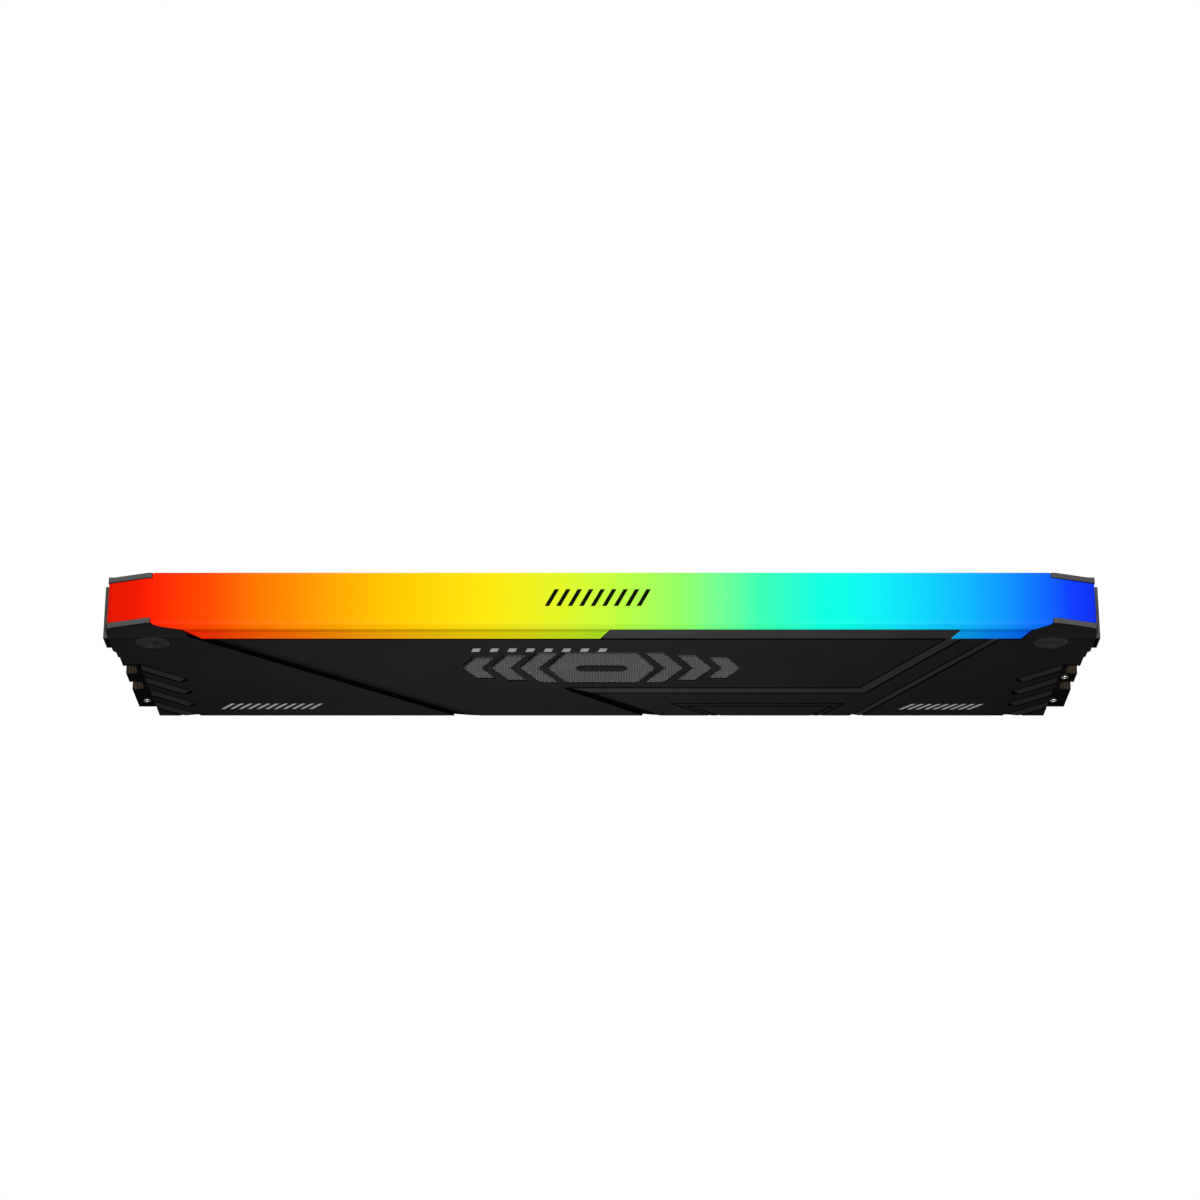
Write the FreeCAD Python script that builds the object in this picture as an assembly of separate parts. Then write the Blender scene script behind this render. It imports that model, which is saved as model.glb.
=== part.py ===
"""Desktop memory module with a two-piece heat spreader and a light bar along its top.

Millimetres, +Z up. The origin is the middle of the circuit board's contact edge. The front looks towards -Y,
+X is to the right as seen from the front. The back half of the spreader is the front half turned half a turn
about Z, so most pieces are made once for the front and turned for the back.
"""

import FreeCAD, Part
import math
import os

os.makedirs("parts", exist_ok=True)

Vector = FreeCAD.Vector

# Driving dimensions of the whole module
MODULE_HEIGHT = 42.0
FACE_Y = 4.165  # half the module's thickness: the plates' outer faces
BAR_FACE_Y = 3.7  # half the light bar's thickness at the top

# Circuit board
BOARD_LENGTH = 133.35
BOARD_HEIGHT = 31.25
BOARD_THICKNESS = 1.4
END_RISE = 0.5  # how much higher the contact edge is at its two ends
CONTACT_COUNT_LEFT = 77
CONTACT_COUNT_RIGHT = 67
CONTACT_PITCH = 0.85
CONTACT_WIDTH = 0.6
CONTACT_HEIGHT = 2.7
CONTACT_THICKNESS = 0.04
CONTACT_EDGE_MARGIN = 0.35
FIRST_CONTACT = 3.35  # from the board's left end
RIGHT_GROUP_START = FIRST_CONTACT + 70.55
LEVEL_END_RUN = 10.2  # contact edge at the raised height, past the first contact
LEFT_RAMP_RUN = 25.5
RIGHT_RAMP_RUN = 22.95
RIGHT_DEEP_RUN = 22.95
KEY_CENTRE = 70.925
KEY_WIDTH = 1.5
KEY_HEIGHT = 3.85
LATCH_NOTCH_HEIGHT = 3.0
LATCH_NOTCH_DEPTH = 1.75
LATCH_NOTCH_BOTTOMS = (8.0, 14.6)
LATCH_NOTCH_RADIUS = 0.75

# Components on the board
CHIP_WIDTH = 8.0
CHIP_HEIGHT = 12.0
CHIP_THICKNESS = 1.2
CHIP_CENTRE_Z = 16.5
CHIP_INNER_X = 10.5
CHIP_PITCH = 13.5
CHIPS_PER_HALF = 4
CHIP_RIM_CHAMFER = 0.08
PAD_LENGTH = 114.0
PAD_HEIGHT = 13.0
CAPACITOR_SIZE = (1.0, 0.5, 0.5)  # width, height and thickness, as for the next ones
BULK_CAPACITOR_SIZE = (2.0, 1.25, 1.25)
RESISTOR_PACK_SIZE = (2.0, 1.0, 0.45)
DIODE_SIZE = (3.0, 1.4, 0.9)
SETTINGS_CHIP_SIZE = (3.0, 2.0, 0.75)
SETTINGS_CHIP_Z = 18.0
LIGHT_CONTROLLER_SIZE = (4.0, 4.0, 0.85)
LIGHT_CONTROLLER_Z = 26.5
CAPACITOR_COLUMN_ZS = (12.0, 15.0, 18.0, 21.0)
CAPACITOR_ROW_Z = 24.6
CAPACITOR_ROW_SHIFT = 2.2  # to each side of a chip's middle
RESISTOR_PACK_Z = 7.6
RESISTOR_PACK_SHIFT = 2.6
BULK_CAPACITOR_XS = (-2.6, 2.6)
BULK_CAPACITOR_ZS = (9.0, 12.0)
DIODE_COUNT = 8
DIODE_PITCH = 13.5
DIODE_BELOW_TOP = 0.75

# Spreader plate
PLATE_INNER_Y = 2.865
PLATE_BOTTOM = 6.5
LOWER_HALF_WIDTH = 62.8
EAR_BOTTOM = 27.7
EAR_HALF_WIDTH = 65.4
FLANGE_BOTTOM = 32.8
FLANGE_TOP = 36.5
FLANGE_OUTER_X = 66.6
FLANGE_INNER_X = 65.95
SHOULDER_HALF_WIDTH = 65.75
SHOULDER_TOP = 39.7
CREST_HALF_WIDTH = 59.7  # half length of the full-width stretch of light bar
CREST_END_X = 65.6  # where the plate's sloping top edge ends
CREST_END_Z = 40.0
CORNER_SLOPE_START = 38.4  # above this height the plate's corners lean inwards
CORNER_SLOPE_END = 40.3
CORNER_FACE_Y = 3.55  # the corners' outer face above the slope
CORNER_INNER_X = 50.0
FLANGE_ROOT = 0.6
FLANGE_SETBACK = 0.5
HALF_GAP = 0.03  # from each half's flange to the middle plane

# Light bar, seen from the front: the window that it fills in the plate's upper edge
LEDGE_Z = 39.65  # lower edge of the bar proper
BAND_Z = 37.5  # lower edge of the glowing band below it
WINDOW_CLEARANCE = 0.1
BAND_LEFT_END = -53.2
BAND_STEP_X = -0.2  # the band ends here and the plate's metal strip begins
STRIP_LEFT_X = 1.2
STRIP_RIGHT_X = 47.7
STRIP_FOOT_X = 46.4
BAND_RIGHT_END = 55.8
BAR_INNER_HALF_LENGTH = 56.0
BAR_CORE_Y = 2.72  # half thickness of the bar between the plates, a hair-line gap from each
BAR_WALL = 1.1
BAR_GROOVE = 0.12
BAR_BOTTOM = 31.9
BAR_EDGE_RADIUS = 0.5  # along the bar's two long top edges

# Clamp screws and sleeves
SCREW_X = 60.0
SCREW_Z = 35.9
HEAD_RADIUS = 2.3
HEAD_THICKNESS = 0.8
HEAD_SINK = 0.08  # the heads lie this far below the plates' faces
HEAD_CLEARANCE = 0.06
SHANK_RADIUS = 0.8
BARREL_RADIUS = 1.35
BORE_CLEARANCE = 0.05
SHANK_END_GAP = 0.6
BARREL_END_GAP = 0.1
SOCKET_ACROSS_FLATS = 1.3
SOCKET_DEPTH = 0.5

# Grooves in the plate. A groove has a steep upper wall, a level floor, a bevel that rises almost to the face
# and a fine line at its foot. A fold's floor climbs towards its upper side instead.
GROOVE_DEPTH = 0.16
FLOOR_WIDTH = 0.9
CLIMB_FLOOR_WIDTH = 0.55
BEVEL_WIDTH = 1.3
NARROW_BEVEL_WIDTH = 0.7
BEVEL_TOP_DEPTH = 0.02
FOOT_LINE_WIDTH = 0.36
FOOT_LINE_DEPTH = 0.08
LEVEL_START = (-6.4, 18.4)
LEVEL_TIP = (-5.9, 19.0)  # the level groove starts as a point, cut along this slanting line
LEVEL_TIP_FOOT = (-3.55, 15.7)
LEVEL_CORNER = (35.7, 18.4)
CLIMB_END = (46.9, 39.8)
OUTER_CLIMB_START = (33.9, 4.0)
OUTER_CLIMB_END = (52.0, 38.4)
FOLD_START = (-55.3, 38.6)
FOLD_END = (-18.6, 4.3)
FOLD_DEPTH = 0.25
FOLD_WIDTH = 1.55
FOLD_EASE_WIDTH = 1.2
FOLD_EASE_DEPTH = 0.07
WEDGE_WIDTH = 1.95
WEDGE_EASE_DEPTH = 0.03
GILL_PITCH = 5.05
GILL_COUNT = 4
GILL_TOP_Z = 26.3
GILL_RUN = 5.8  # how far in from the plate's side a gill reaches
GILL_WIDTH = 2.2
GILL_FLOOR_WIDTH = 0.65
GILL_CAP_START = 0.55  # the gill's inner end is level floor from here inwards
OUTLINE_DEPTH = 0.05
OUTLINE_WIDTH = 0.36
STRIP_LINE_WIDTH = 0.25
STRIP_LINE_DEPTH = 0.3

# Emblem
EMBLEM_Z = 25.8
EMBLEM_RECESS_DEPTH = 0.5
EMBLEM_THICKNESS = 0.38
EMBLEM_CLEARANCE = 0.06
RECESS_SHIFT = (-0.3, 0.75)  # how much further the recess reaches to the upper left of each piece
HEXAGON_HALF_WIDTH = 7.4
HEXAGON_HALF_HEIGHT = 5.7
HEXAGON_SHOULDER_DROP = 2.4
HEXAGON_SLOT_HALF_WIDTH = 3.6
HEXAGON_SLOT_HALF_HEIGHT = 1.0
HEXAGON_SLOT_LEAN = 0.9
WING_GAP = 1.1
WING_STEP_DOWN = 0.9  # how much shorter each wing is than the one before, at each end
WING_COUNT = 3
WING_WIDTH = 2.7
WING_PITCH = 3.9
WING_LEAN = 2.6

OUTSIDE = 1.0  # how far cutting tools reach past a face
HALF_BOARD = BOARD_THICKNESS / 2
HALF_LENGTH = BOARD_LENGTH / 2


def save(name, shape):
    """Write one sub-part."""
    shape.exportStep("parts/" + name + ".step")
    print(name, "solids", len(shape.Solids), "volume", round(shape.Volume, 2), "valid", shape.isValid())


def turned(shape):
    """The same piece for the back: half a turn about Z."""
    copy = shape.copy()
    copy.rotate(Vector(0, 0, 0), Vector(0, 0, 1), 180)
    return copy


def box(x_low, x_high, y_low, y_high, z_low, z_high):
    corner = Vector(x_low, y_low, z_low)
    return Part.makeBox(x_high - x_low, y_high - y_low, z_high - z_low, corner)


def centred_box(centre_x, y_low, y_high, centre_z, width, height):
    return box(
        centre_x - width / 2,
        centre_x + width / 2,
        y_low,
        y_high,
        centre_z - height / 2,
        centre_z + height / 2,
    )


def outline_face(points, y):
    """A flat face at depth y from (x, z) corners."""
    corners = [Vector(x, y, z) for x, z in points]
    return Part.Face(Part.makePolygon(corners + corners[:1]))


def prism(points, y_low, y_high):
    """A solid from (x, z) corners, from depth y_low to y_high."""
    return outline_face(points, y_low).extrude(Vector(0, y_high - y_low, 0))


def profile_bar(points, x_low, x_high):
    """A solid from (y, z) corners, from x_low to x_high."""
    corners = [Vector(x_low, y, z) for y, z in points]
    face = Part.Face(Part.makePolygon(corners + corners[:1]))
    return face.extrude(Vector(x_high - x_low, 0, 0))


def mirrored_points(points):
    return [(-x, z) for x, z in reversed(points)]


# ---------------------------------------------------------------- circuit board


def edge_height(distance):
    """Height of the contact edge at a distance from the board's left end."""
    left_ramp = FIRST_CONTACT + LEVEL_END_RUN
    left_deep = left_ramp + LEFT_RAMP_RUN
    right_ramp = RIGHT_GROUP_START + RIGHT_DEEP_RUN
    right_level = right_ramp + RIGHT_RAMP_RUN
    if distance <= left_ramp or distance >= right_level:
        return END_RISE
    if distance < left_deep:
        return END_RISE * (left_deep - distance) / LEFT_RAMP_RUN
    if distance > right_ramp:
        return END_RISE * (distance - right_ramp) / RIGHT_RAMP_RUN
    return 0.0


def board_outline():
    """Outline with its gently curved contact edge, as (x, z) corners."""
    left_ramp = FIRST_CONTACT + LEVEL_END_RUN
    right_ramp = RIGHT_GROUP_START + RIGHT_DEEP_RUN
    left_deep = left_ramp + LEFT_RAMP_RUN
    right_level = right_ramp + RIGHT_RAMP_RUN
    corners = (0.0, left_ramp, left_deep, right_ramp, right_level, BOARD_LENGTH)
    lower = [(distance - HALF_LENGTH, edge_height(distance)) for distance in corners]
    return lower + [(HALF_LENGTH, BOARD_HEIGHT), (-HALF_LENGTH, BOARD_HEIGHT)]


def latch_notch(side, bottom):
    """Cutter for one round-cornered notch in the board's end."""
    inner_x = HALF_LENGTH - LATCH_NOTCH_DEPTH
    notch = box(inner_x, HALF_LENGTH + OUTSIDE, -OUTSIDE, OUTSIDE, bottom, bottom + LATCH_NOTCH_HEIGHT)
    corners = [
        edge
        for edge in notch.Edges
        if abs(edge.CenterOfMass.x - inner_x) < 1e-6 and abs(edge.CenterOfMass.y) < 1e-6
    ]
    notch = notch.makeFillet(LATCH_NOTCH_RADIUS, corners)
    return notch if side > 0 else turned(notch)


def key_slot():
    x = KEY_CENTRE - HALF_LENGTH
    straight = KEY_HEIGHT - KEY_WIDTH / 2
    slot = box(x - KEY_WIDTH / 2, x + KEY_WIDTH / 2, -OUTSIDE, OUTSIDE, -OUTSIDE, straight)
    crown = Part.makeCylinder(KEY_WIDTH / 2, 2 * OUTSIDE, Vector(x, -OUTSIDE, straight), Vector(0, 1, 0))
    return slot.fuse(crown)


def circuit_board():
    board = prism(board_outline(), -HALF_BOARD, HALF_BOARD)
    cutters = [key_slot()]
    for side in (-1, 1):
        for bottom in LATCH_NOTCH_BOTTOMS:
            cutters.append(latch_notch(side, bottom))
    return board.cut(cutters).removeSplitter()


def contact_distances():
    """Distance of each contact's middle from the board's left end."""
    left = [FIRST_CONTACT + CONTACT_PITCH * index for index in range(CONTACT_COUNT_LEFT)]
    right = [RIGHT_GROUP_START + CONTACT_PITCH * index for index in range(CONTACT_COUNT_RIGHT)]
    return left + right


def edge_contacts(side):
    """The gold contacts of one face: side -1 is the front, 1 the back."""
    low = min(side * HALF_BOARD, side * (HALF_BOARD + CONTACT_THICKNESS))
    contacts = []
    for distance in contact_distances():
        foot = edge_height(distance) + CONTACT_EDGE_MARGIN
        middle = foot + CONTACT_HEIGHT / 2
        x = distance - HALF_LENGTH
        contacts.append(centred_box(x, low, low + CONTACT_THICKNESS, middle, CONTACT_WIDTH, CONTACT_HEIGHT))
    return Part.makeCompound(contacts)


# ---------------------------------------------------------------- components on the board


def chip_positions():
    right = [CHIP_INNER_X + CHIP_PITCH * index for index in range(CHIPS_PER_HALF)]
    return [-x for x in reversed(right)] + right


def front_component(x, z, width, height, thickness):
    """A plain component soldered flat on the board's front."""
    return centred_box(x, -HALF_BOARD - thickness, -HALF_BOARD, z, width, height)


def memory_chip(x):
    chip = front_component(x, CHIP_CENTRE_Z, CHIP_WIDTH, CHIP_HEIGHT, CHIP_THICKNESS)
    rim = [edge for edge in chip.Edges if abs(edge.CenterOfMass.y + HALF_BOARD + CHIP_THICKNESS) < 1e-6]
    return chip.makeChamfer(CHIP_RIM_CHAMFER, rim)


def component_row(xs, zs, size):
    """A group of identical small components, one at each crossing of xs and zs."""
    return Part.makeCompound([front_component(x, z, *size) for x in xs for z in zs])


def chip_gaps():
    """Middles of the gaps between neighbouring chips, without the wide middle gap."""
    right = [CHIP_INNER_X + CHIP_PITCH * (index + 0.5) for index in range(CHIPS_PER_HALF - 1)]
    return [-x for x in reversed(right)] + right


def decoupling_capacitors():
    """Small capacitors in columns between the chips and in a row above them."""
    columns = component_row(chip_gaps(), CAPACITOR_COLUMN_ZS, CAPACITOR_SIZE)
    shifts = (-CAPACITOR_ROW_SHIFT, CAPACITOR_ROW_SHIFT)
    above = [x + shift for x in chip_positions() for shift in shifts]
    row = component_row(above, (CAPACITOR_ROW_Z,), CAPACITOR_SIZE)
    return Part.makeCompound(columns.Solids + row.Solids)


def resistor_packs():
    """Four-way termination resistor packs in a row above the contacts."""
    shifts = (-RESISTOR_PACK_SHIFT, RESISTOR_PACK_SHIFT)
    xs = [x + shift for x in chip_positions() for shift in shifts]
    return component_row(xs, (RESISTOR_PACK_Z,), RESISTOR_PACK_SIZE)


def bulk_capacitors():
    return component_row(BULK_CAPACITOR_XS, BULK_CAPACITOR_ZS, BULK_CAPACITOR_SIZE)


def light_emitting_diodes():
    """Diodes at the board's top edge, which shine up into the bar."""
    xs = [DIODE_PITCH * (index - (DIODE_COUNT - 1) / 2) for index in range(DIODE_COUNT)]
    return component_row(xs, (BOARD_HEIGHT - DIODE_BELOW_TOP,), DIODE_SIZE)


def thermal_pad():
    """Soft pad that fills the gap between the chips and the plate."""
    outer = -PLATE_INNER_Y
    return centred_box(0.0, outer, -HALF_BOARD - CHIP_THICKNESS, CHIP_CENTRE_Z, PAD_LENGTH, PAD_HEIGHT)


# ---------------------------------------------------------------- light bar


def window_outline():
    """Front view of what the light bar fills in the plate's upper edge, as (x, z) corners."""
    return [
        (-CREST_HALF_WIDTH, MODULE_HEIGHT + OUTSIDE),
        (-CREST_HALF_WIDTH, 41.9),
        (-58.4, 40.8),
        (-56.0, 39.8),
        (BAND_LEFT_END, BAND_Z),
        (BAND_STEP_X, BAND_Z),
        (STRIP_LEFT_X, LEDGE_Z),
        (STRIP_RIGHT_X, LEDGE_Z),
        (STRIP_FOOT_X, BAND_Z),
        (BAND_RIGHT_END, BAND_Z),
        (57.1, 39.5),
        (58.5, 40.8),
        (CREST_HALF_WIDTH, 41.9),
        (CREST_HALF_WIDTH, MODULE_HEIGHT + OUTSIDE),
    ]


def bar_side_profile():
    """Section of the bar's front side, as (y, z) corners: flat, then a fine groove and a sloping band."""
    return [
        (0.0, MODULE_HEIGHT),
        (-BAR_FACE_Y, MODULE_HEIGHT),
        (-BAR_FACE_Y, LEDGE_Z + BAR_GROOVE),
        (-BAR_FACE_Y + BAR_GROOVE, LEDGE_Z),
        (-BAR_FACE_Y, LEDGE_Z - BAR_GROOVE),
        (-FACE_Y, BAND_Z + 0.2),
        (-FACE_Y, BAND_Z - OUTSIDE),
        (0.0, BAND_Z - OUTSIDE),
    ]


def crest_outline():
    """Front view of the narrow core of the bar, whose ends slope down to the flanges."""
    end_x = FLANGE_INNER_X - 0.1
    right = [
        (end_x, BAR_BOTTOM + 1.2),
        (end_x, FLANGE_TOP),
        (CREST_END_X, CREST_END_Z),
        (CREST_HALF_WIDTH + 0.5, MODULE_HEIGHT),
    ]
    foot = [(BAR_INNER_HALF_LENGTH + 1.0, BAR_BOTTOM)]
    return mirrored_points(right) + mirrored_points(foot) + foot + right


def front_glow_block():
    """The part of the bar that shows on the front, cut to the window less a hair-line gap."""
    window = outline_face(window_outline(), -FACE_Y - OUTSIDE)
    inner = window.makeOffset2D(-WINDOW_CLEARANCE)
    block = inner.extrude(Vector(0, FACE_Y + OUTSIDE - BAR_CORE_Y, 0))
    section = profile_bar(bar_side_profile(), -HALF_LENGTH, HALF_LENGTH)
    return block.common(section)


def light_bar_diffuser():
    core = prism(crest_outline(), -BAR_CORE_Y, BAR_CORE_Y)
    front = front_glow_block()
    bar = core.fuse([front, turned(front)]).removeSplitter()
    crest_edges = [
        edge
        for edge in bar.Edges
        if edge.Length > BOARD_LENGTH / 2
        and abs(abs(edge.CenterOfMass.y) - BAR_FACE_Y) < 0.01
        and abs(edge.CenterOfMass.z - MODULE_HEIGHT) < 0.01
    ]
    bar = bar.makeFillet(BAR_EDGE_RADIUS, crest_edges)
    channel_y = BAR_CORE_Y - BAR_WALL
    channel = box(
        -BAR_INNER_HALF_LENGTH,
        BAR_INNER_HALF_LENGTH,
        -channel_y,
        channel_y,
        BAR_BOTTOM - OUTSIDE,
        MODULE_HEIGHT - BAR_WALL,
    )
    bores = [clamp_bore(side, BARREL_RADIUS + BORE_CLEARANCE, FACE_Y) for side in (-1, 1)]
    return bar.cut([channel] + bores)


# ---------------------------------------------------------------- clamp screws


def rod(x, radius, y_low, y_high):
    """A round rod on one screw's axis."""
    return Part.makeCylinder(radius, y_high - y_low, Vector(x, y_low, SCREW_Z), Vector(0, 1, 0))


def clamp_bore(side, radius, reach):
    """A round bore right through the module on one screw's axis."""
    return rod(side * SCREW_X, radius, -reach, reach)


def hexagon(x, z, half_height, y_low, y_high):
    """A hexagonal prism with two corners pointing up and down."""
    corners = []
    for index in range(6):
        angle = math.radians(60 * index + 30)
        corners.append((x + half_height * math.cos(angle), z + half_height * math.sin(angle)))
    return prism(corners, y_low, y_high)


def clamp_screw(x):
    """Screw from the front: a head with a hexagonal socket, and a shank."""
    head_foot = -FACE_Y + HEAD_THICKNESS
    shank_end = FACE_Y - HEAD_THICKNESS - SHANK_END_GAP
    head = rod(x, HEAD_RADIUS, -FACE_Y + HEAD_SINK, head_foot)
    shank = rod(x, SHANK_RADIUS, head_foot, shank_end)
    corner_radius = SOCKET_ACROSS_FLATS / math.sqrt(3)
    socket = hexagon(x, SCREW_Z, corner_radius, -FACE_Y - OUTSIDE, -FACE_Y + SOCKET_DEPTH)
    return head.fuse(shank).removeSplitter().cut(socket)


def clamp_sleeve(x):
    """Threaded sleeve from the back: a closed head and a barrel that takes the screw."""
    head_foot = FACE_Y - HEAD_THICKNESS
    head = rod(x, HEAD_RADIUS, head_foot, FACE_Y - HEAD_SINK)
    barrel = rod(x, BARREL_RADIUS, -FACE_Y + HEAD_THICKNESS + BARREL_END_GAP, head_foot)
    bore = rod(x, SHANK_RADIUS + BORE_CLEARANCE, -FACE_Y, head_foot)
    return head.fuse(barrel).removeSplitter().cut(bore)


# ---------------------------------------------------------------- emblem


def emblem_outlines():
    """Corners of the emblem's pieces: a hexagon with three leaning bars on each side."""
    shoulder = HEXAGON_HALF_WIDTH - HEXAGON_SHOULDER_DROP
    hexagon_outline = [
        (HEXAGON_HALF_WIDTH, 0.0),
        (shoulder, HEXAGON_HALF_HEIGHT),
        (-shoulder, HEXAGON_HALF_HEIGHT),
        (-HEXAGON_HALF_WIDTH, 0.0),
        (-shoulder, -HEXAGON_HALF_HEIGHT),
        (shoulder, -HEXAGON_HALF_HEIGHT),
    ]
    outlines = [hexagon_outline]
    for index in range(WING_COUNT):
        inner = HEXAGON_HALF_WIDTH + WING_GAP + WING_PITCH * index
        half_height = HEXAGON_HALF_HEIGHT - WING_STEP_DOWN * index
        lean = WING_LEAN * half_height / HEXAGON_HALF_HEIGHT
        wing = [
            (inner, 0.0),
            (inner - lean, half_height),
            (inner - lean + WING_WIDTH, half_height),
            (inner + WING_WIDTH, 0.0),
            (inner - lean + WING_WIDTH, -half_height),
            (inner - lean, -half_height),
        ]
        outlines += [wing, mirrored_points(wing)]
    return [[(x, z + EMBLEM_Z) for x, z in outline] for outline in outlines]


def hexagon_window():
    """Slot through the middle of the emblem's hexagon."""
    half_width = HEXAGON_SLOT_HALF_WIDTH
    half_height = HEXAGON_SLOT_HALF_HEIGHT
    shoulder = half_width - HEXAGON_SLOT_LEAN
    corners = [(-half_width, 0.0), (-shoulder, half_height), (shoulder, half_height)]
    corners += [(half_width, 0.0), (shoulder, -half_height), (-shoulder, -half_height)]
    return [(x, z + EMBLEM_Z) for x, z in corners]


def swept_outline_tool(outline):
    """Cutter for one piece's recess: its outline swept towards the upper left."""
    y_low = -FACE_Y - OUTSIDE
    y_high = -FACE_Y + EMBLEM_RECESS_DEPTH
    shift_x, shift_z = RECESS_SHIFT
    moved = [(x + shift_x, z + shift_z) for x, z in outline]
    parts = [prism(moved, y_low, y_high)]
    for index in range(len(outline)):
        following = (index + 1) % len(outline)
        side = [outline[index], outline[following], moved[following], moved[index]]
        parts.append(prism(side, y_low, y_high))
    return prism(outline, y_low, y_high).fuse(parts).removeSplitter()


def emblem_recess():
    tools = [swept_outline_tool(outline) for outline in emblem_outlines()]
    island = prism(hexagon_window(), -FACE_Y - OUTSIDE, -FACE_Y + EMBLEM_RECESS_DEPTH)
    tools[0] = tools[0].cut(island)
    return tools


def emblem_inlay():
    """Textured metal inlay: separate bars and a hexagon, a little below the plate's face."""
    floor = -FACE_Y + EMBLEM_RECESS_DEPTH
    bars = []
    for outline in emblem_outlines():
        face = outline_face(outline, floor).makeOffset2D(-EMBLEM_CLEARANCE)
        bars.append(face.extrude(Vector(0, -EMBLEM_THICKNESS, 0)))
    island = outline_face(hexagon_window(), floor).makeOffset2D(EMBLEM_CLEARANCE)
    bars[0] = bars[0].cut(island.extrude(Vector(0, -EMBLEM_THICKNESS, 0)))
    return Part.makeCompound(bars)


# ---------------------------------------------------------------- spreader plate


def plate_outline():
    """Front view of the plate before the window is cut, as (x, z) corners."""
    right = [
        (LOWER_HALF_WIDTH, PLATE_BOTTOM),
        (LOWER_HALF_WIDTH, EAR_BOTTOM),
        (EAR_HALF_WIDTH - 0.3, EAR_BOTTOM),
        (EAR_HALF_WIDTH - 0.3, 30.3),
        (EAR_HALF_WIDTH, 30.6),
        (EAR_HALF_WIDTH, FLANGE_BOTTOM - 0.5),
        (SHOULDER_HALF_WIDTH, FLANGE_BOTTOM),
        (SHOULDER_HALF_WIDTH, SHOULDER_TOP),
        (CREST_END_X, CREST_END_Z),
        (CREST_HALF_WIDTH + 0.5, MODULE_HEIGHT),
    ]
    return right + mirrored_points(right)


def groove_along(start, end, section):
    """Cutter for a groove along a line in the plate's face, from one (x, z) point to another.

    section lists (across, depth) corners: across is measured square to the line, positive towards its
    upper side, and depth is measured inwards from the face.
    """
    along = Vector(end[0] - start[0], 0, end[1] - start[1])
    length = along.Length
    along.normalize()
    up = upper_side(along)
    origin = Vector(start[0], -FACE_Y, start[1])
    corners = [origin + up * across + Vector(0, depth, 0) for across, depth in section]
    face = Part.Face(Part.makePolygon(corners + corners[:1]))
    return face.extrude(along * length)


def upper_side(along):
    """Unit vector in the plate's face, square to a line and towards its upper side."""
    up = Vector(-along.z, 0, along.x)
    return up if up.z > 0 else up * -1


def bevelled_groove(start, end, floor_width, bevel_width):
    """Groove whose upper edge runs along the line."""
    bevel_foot = -floor_width - bevel_width
    section = [
        (0.0, -OUTSIDE),
        (0.0, GROOVE_DEPTH),
        (-floor_width, GROOVE_DEPTH),
        (bevel_foot, BEVEL_TOP_DEPTH),
        (bevel_foot, FOOT_LINE_DEPTH),
        (bevel_foot - FOOT_LINE_WIDTH, FOOT_LINE_DEPTH),
        (bevel_foot - FOOT_LINE_WIDTH, -OUTSIDE),
    ]
    return groove_along(start, end, section)


def fold_groove(start, end, width, ease_depth, ease_width):
    """Broad fold: upright on its lower side, which the line follows, and climbing on its upper side."""
    section = [(0.0, -OUTSIDE), (0.0, FOLD_DEPTH), (width, ease_depth)]
    section += [(width + ease_width, 0.0), (width + ease_width, -OUTSIDE)]
    return groove_along(start, end, section)


def bent_groove():
    """The level groove and the climbing groove, mitred where they meet."""
    level = Vector(1, 0, 0)
    climb = Vector(CLIMB_END[0] - LEVEL_CORNER[0], 0, CLIMB_END[1] - LEVEL_CORNER[1])
    climb.normalize()
    mitre = upper_side(level) + upper_side(climb)
    mitre.normalize()
    reach = BOARD_LENGTH
    overrun = 2 * (FLOOR_WIDTH + BEVEL_WIDTH)
    corner = Vector(LEVEL_CORNER[0], 0, LEVEL_CORNER[1])
    top = corner + mitre * reach
    foot = corner - mitre * reach
    sides = []
    for shift in (-reach, reach):
        points = [(top.x, top.z), (foot.x, foot.z), (foot.x + shift, foot.z), (top.x + shift, top.z)]
        sides.append(prism(points, -FACE_Y - OUTSIDE, FACE_Y))
    level_end = (LEVEL_CORNER[0] + overrun, LEVEL_CORNER[1])
    climb_start = (LEVEL_CORNER[0] - overrun * climb.x, LEVEL_CORNER[1] - overrun * climb.z)
    level_run = bevelled_groove(LEVEL_START, level_end, FLOOR_WIDTH, BEVEL_WIDTH)
    climb_run = bevelled_groove(climb_start, CLIMB_END, CLIMB_FLOOR_WIDTH, BEVEL_WIDTH)
    tip = [LEVEL_TIP, (HALF_LENGTH, LEVEL_TIP[1]), (HALF_LENGTH, LEVEL_TIP_FOOT[1] - OUTSIDE), LEVEL_TIP_FOOT]
    level_run = level_run.common(prism(tip, -FACE_Y - OUTSIDE, FACE_Y))
    below_bar = box(-HALF_LENGTH, HALF_LENGTH, -FACE_Y - OUTSIDE, FACE_Y, 0.0, BAND_Z)
    return [level_run.common(sides[0]), climb_run.common(sides[1]).common(below_bar)]


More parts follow.
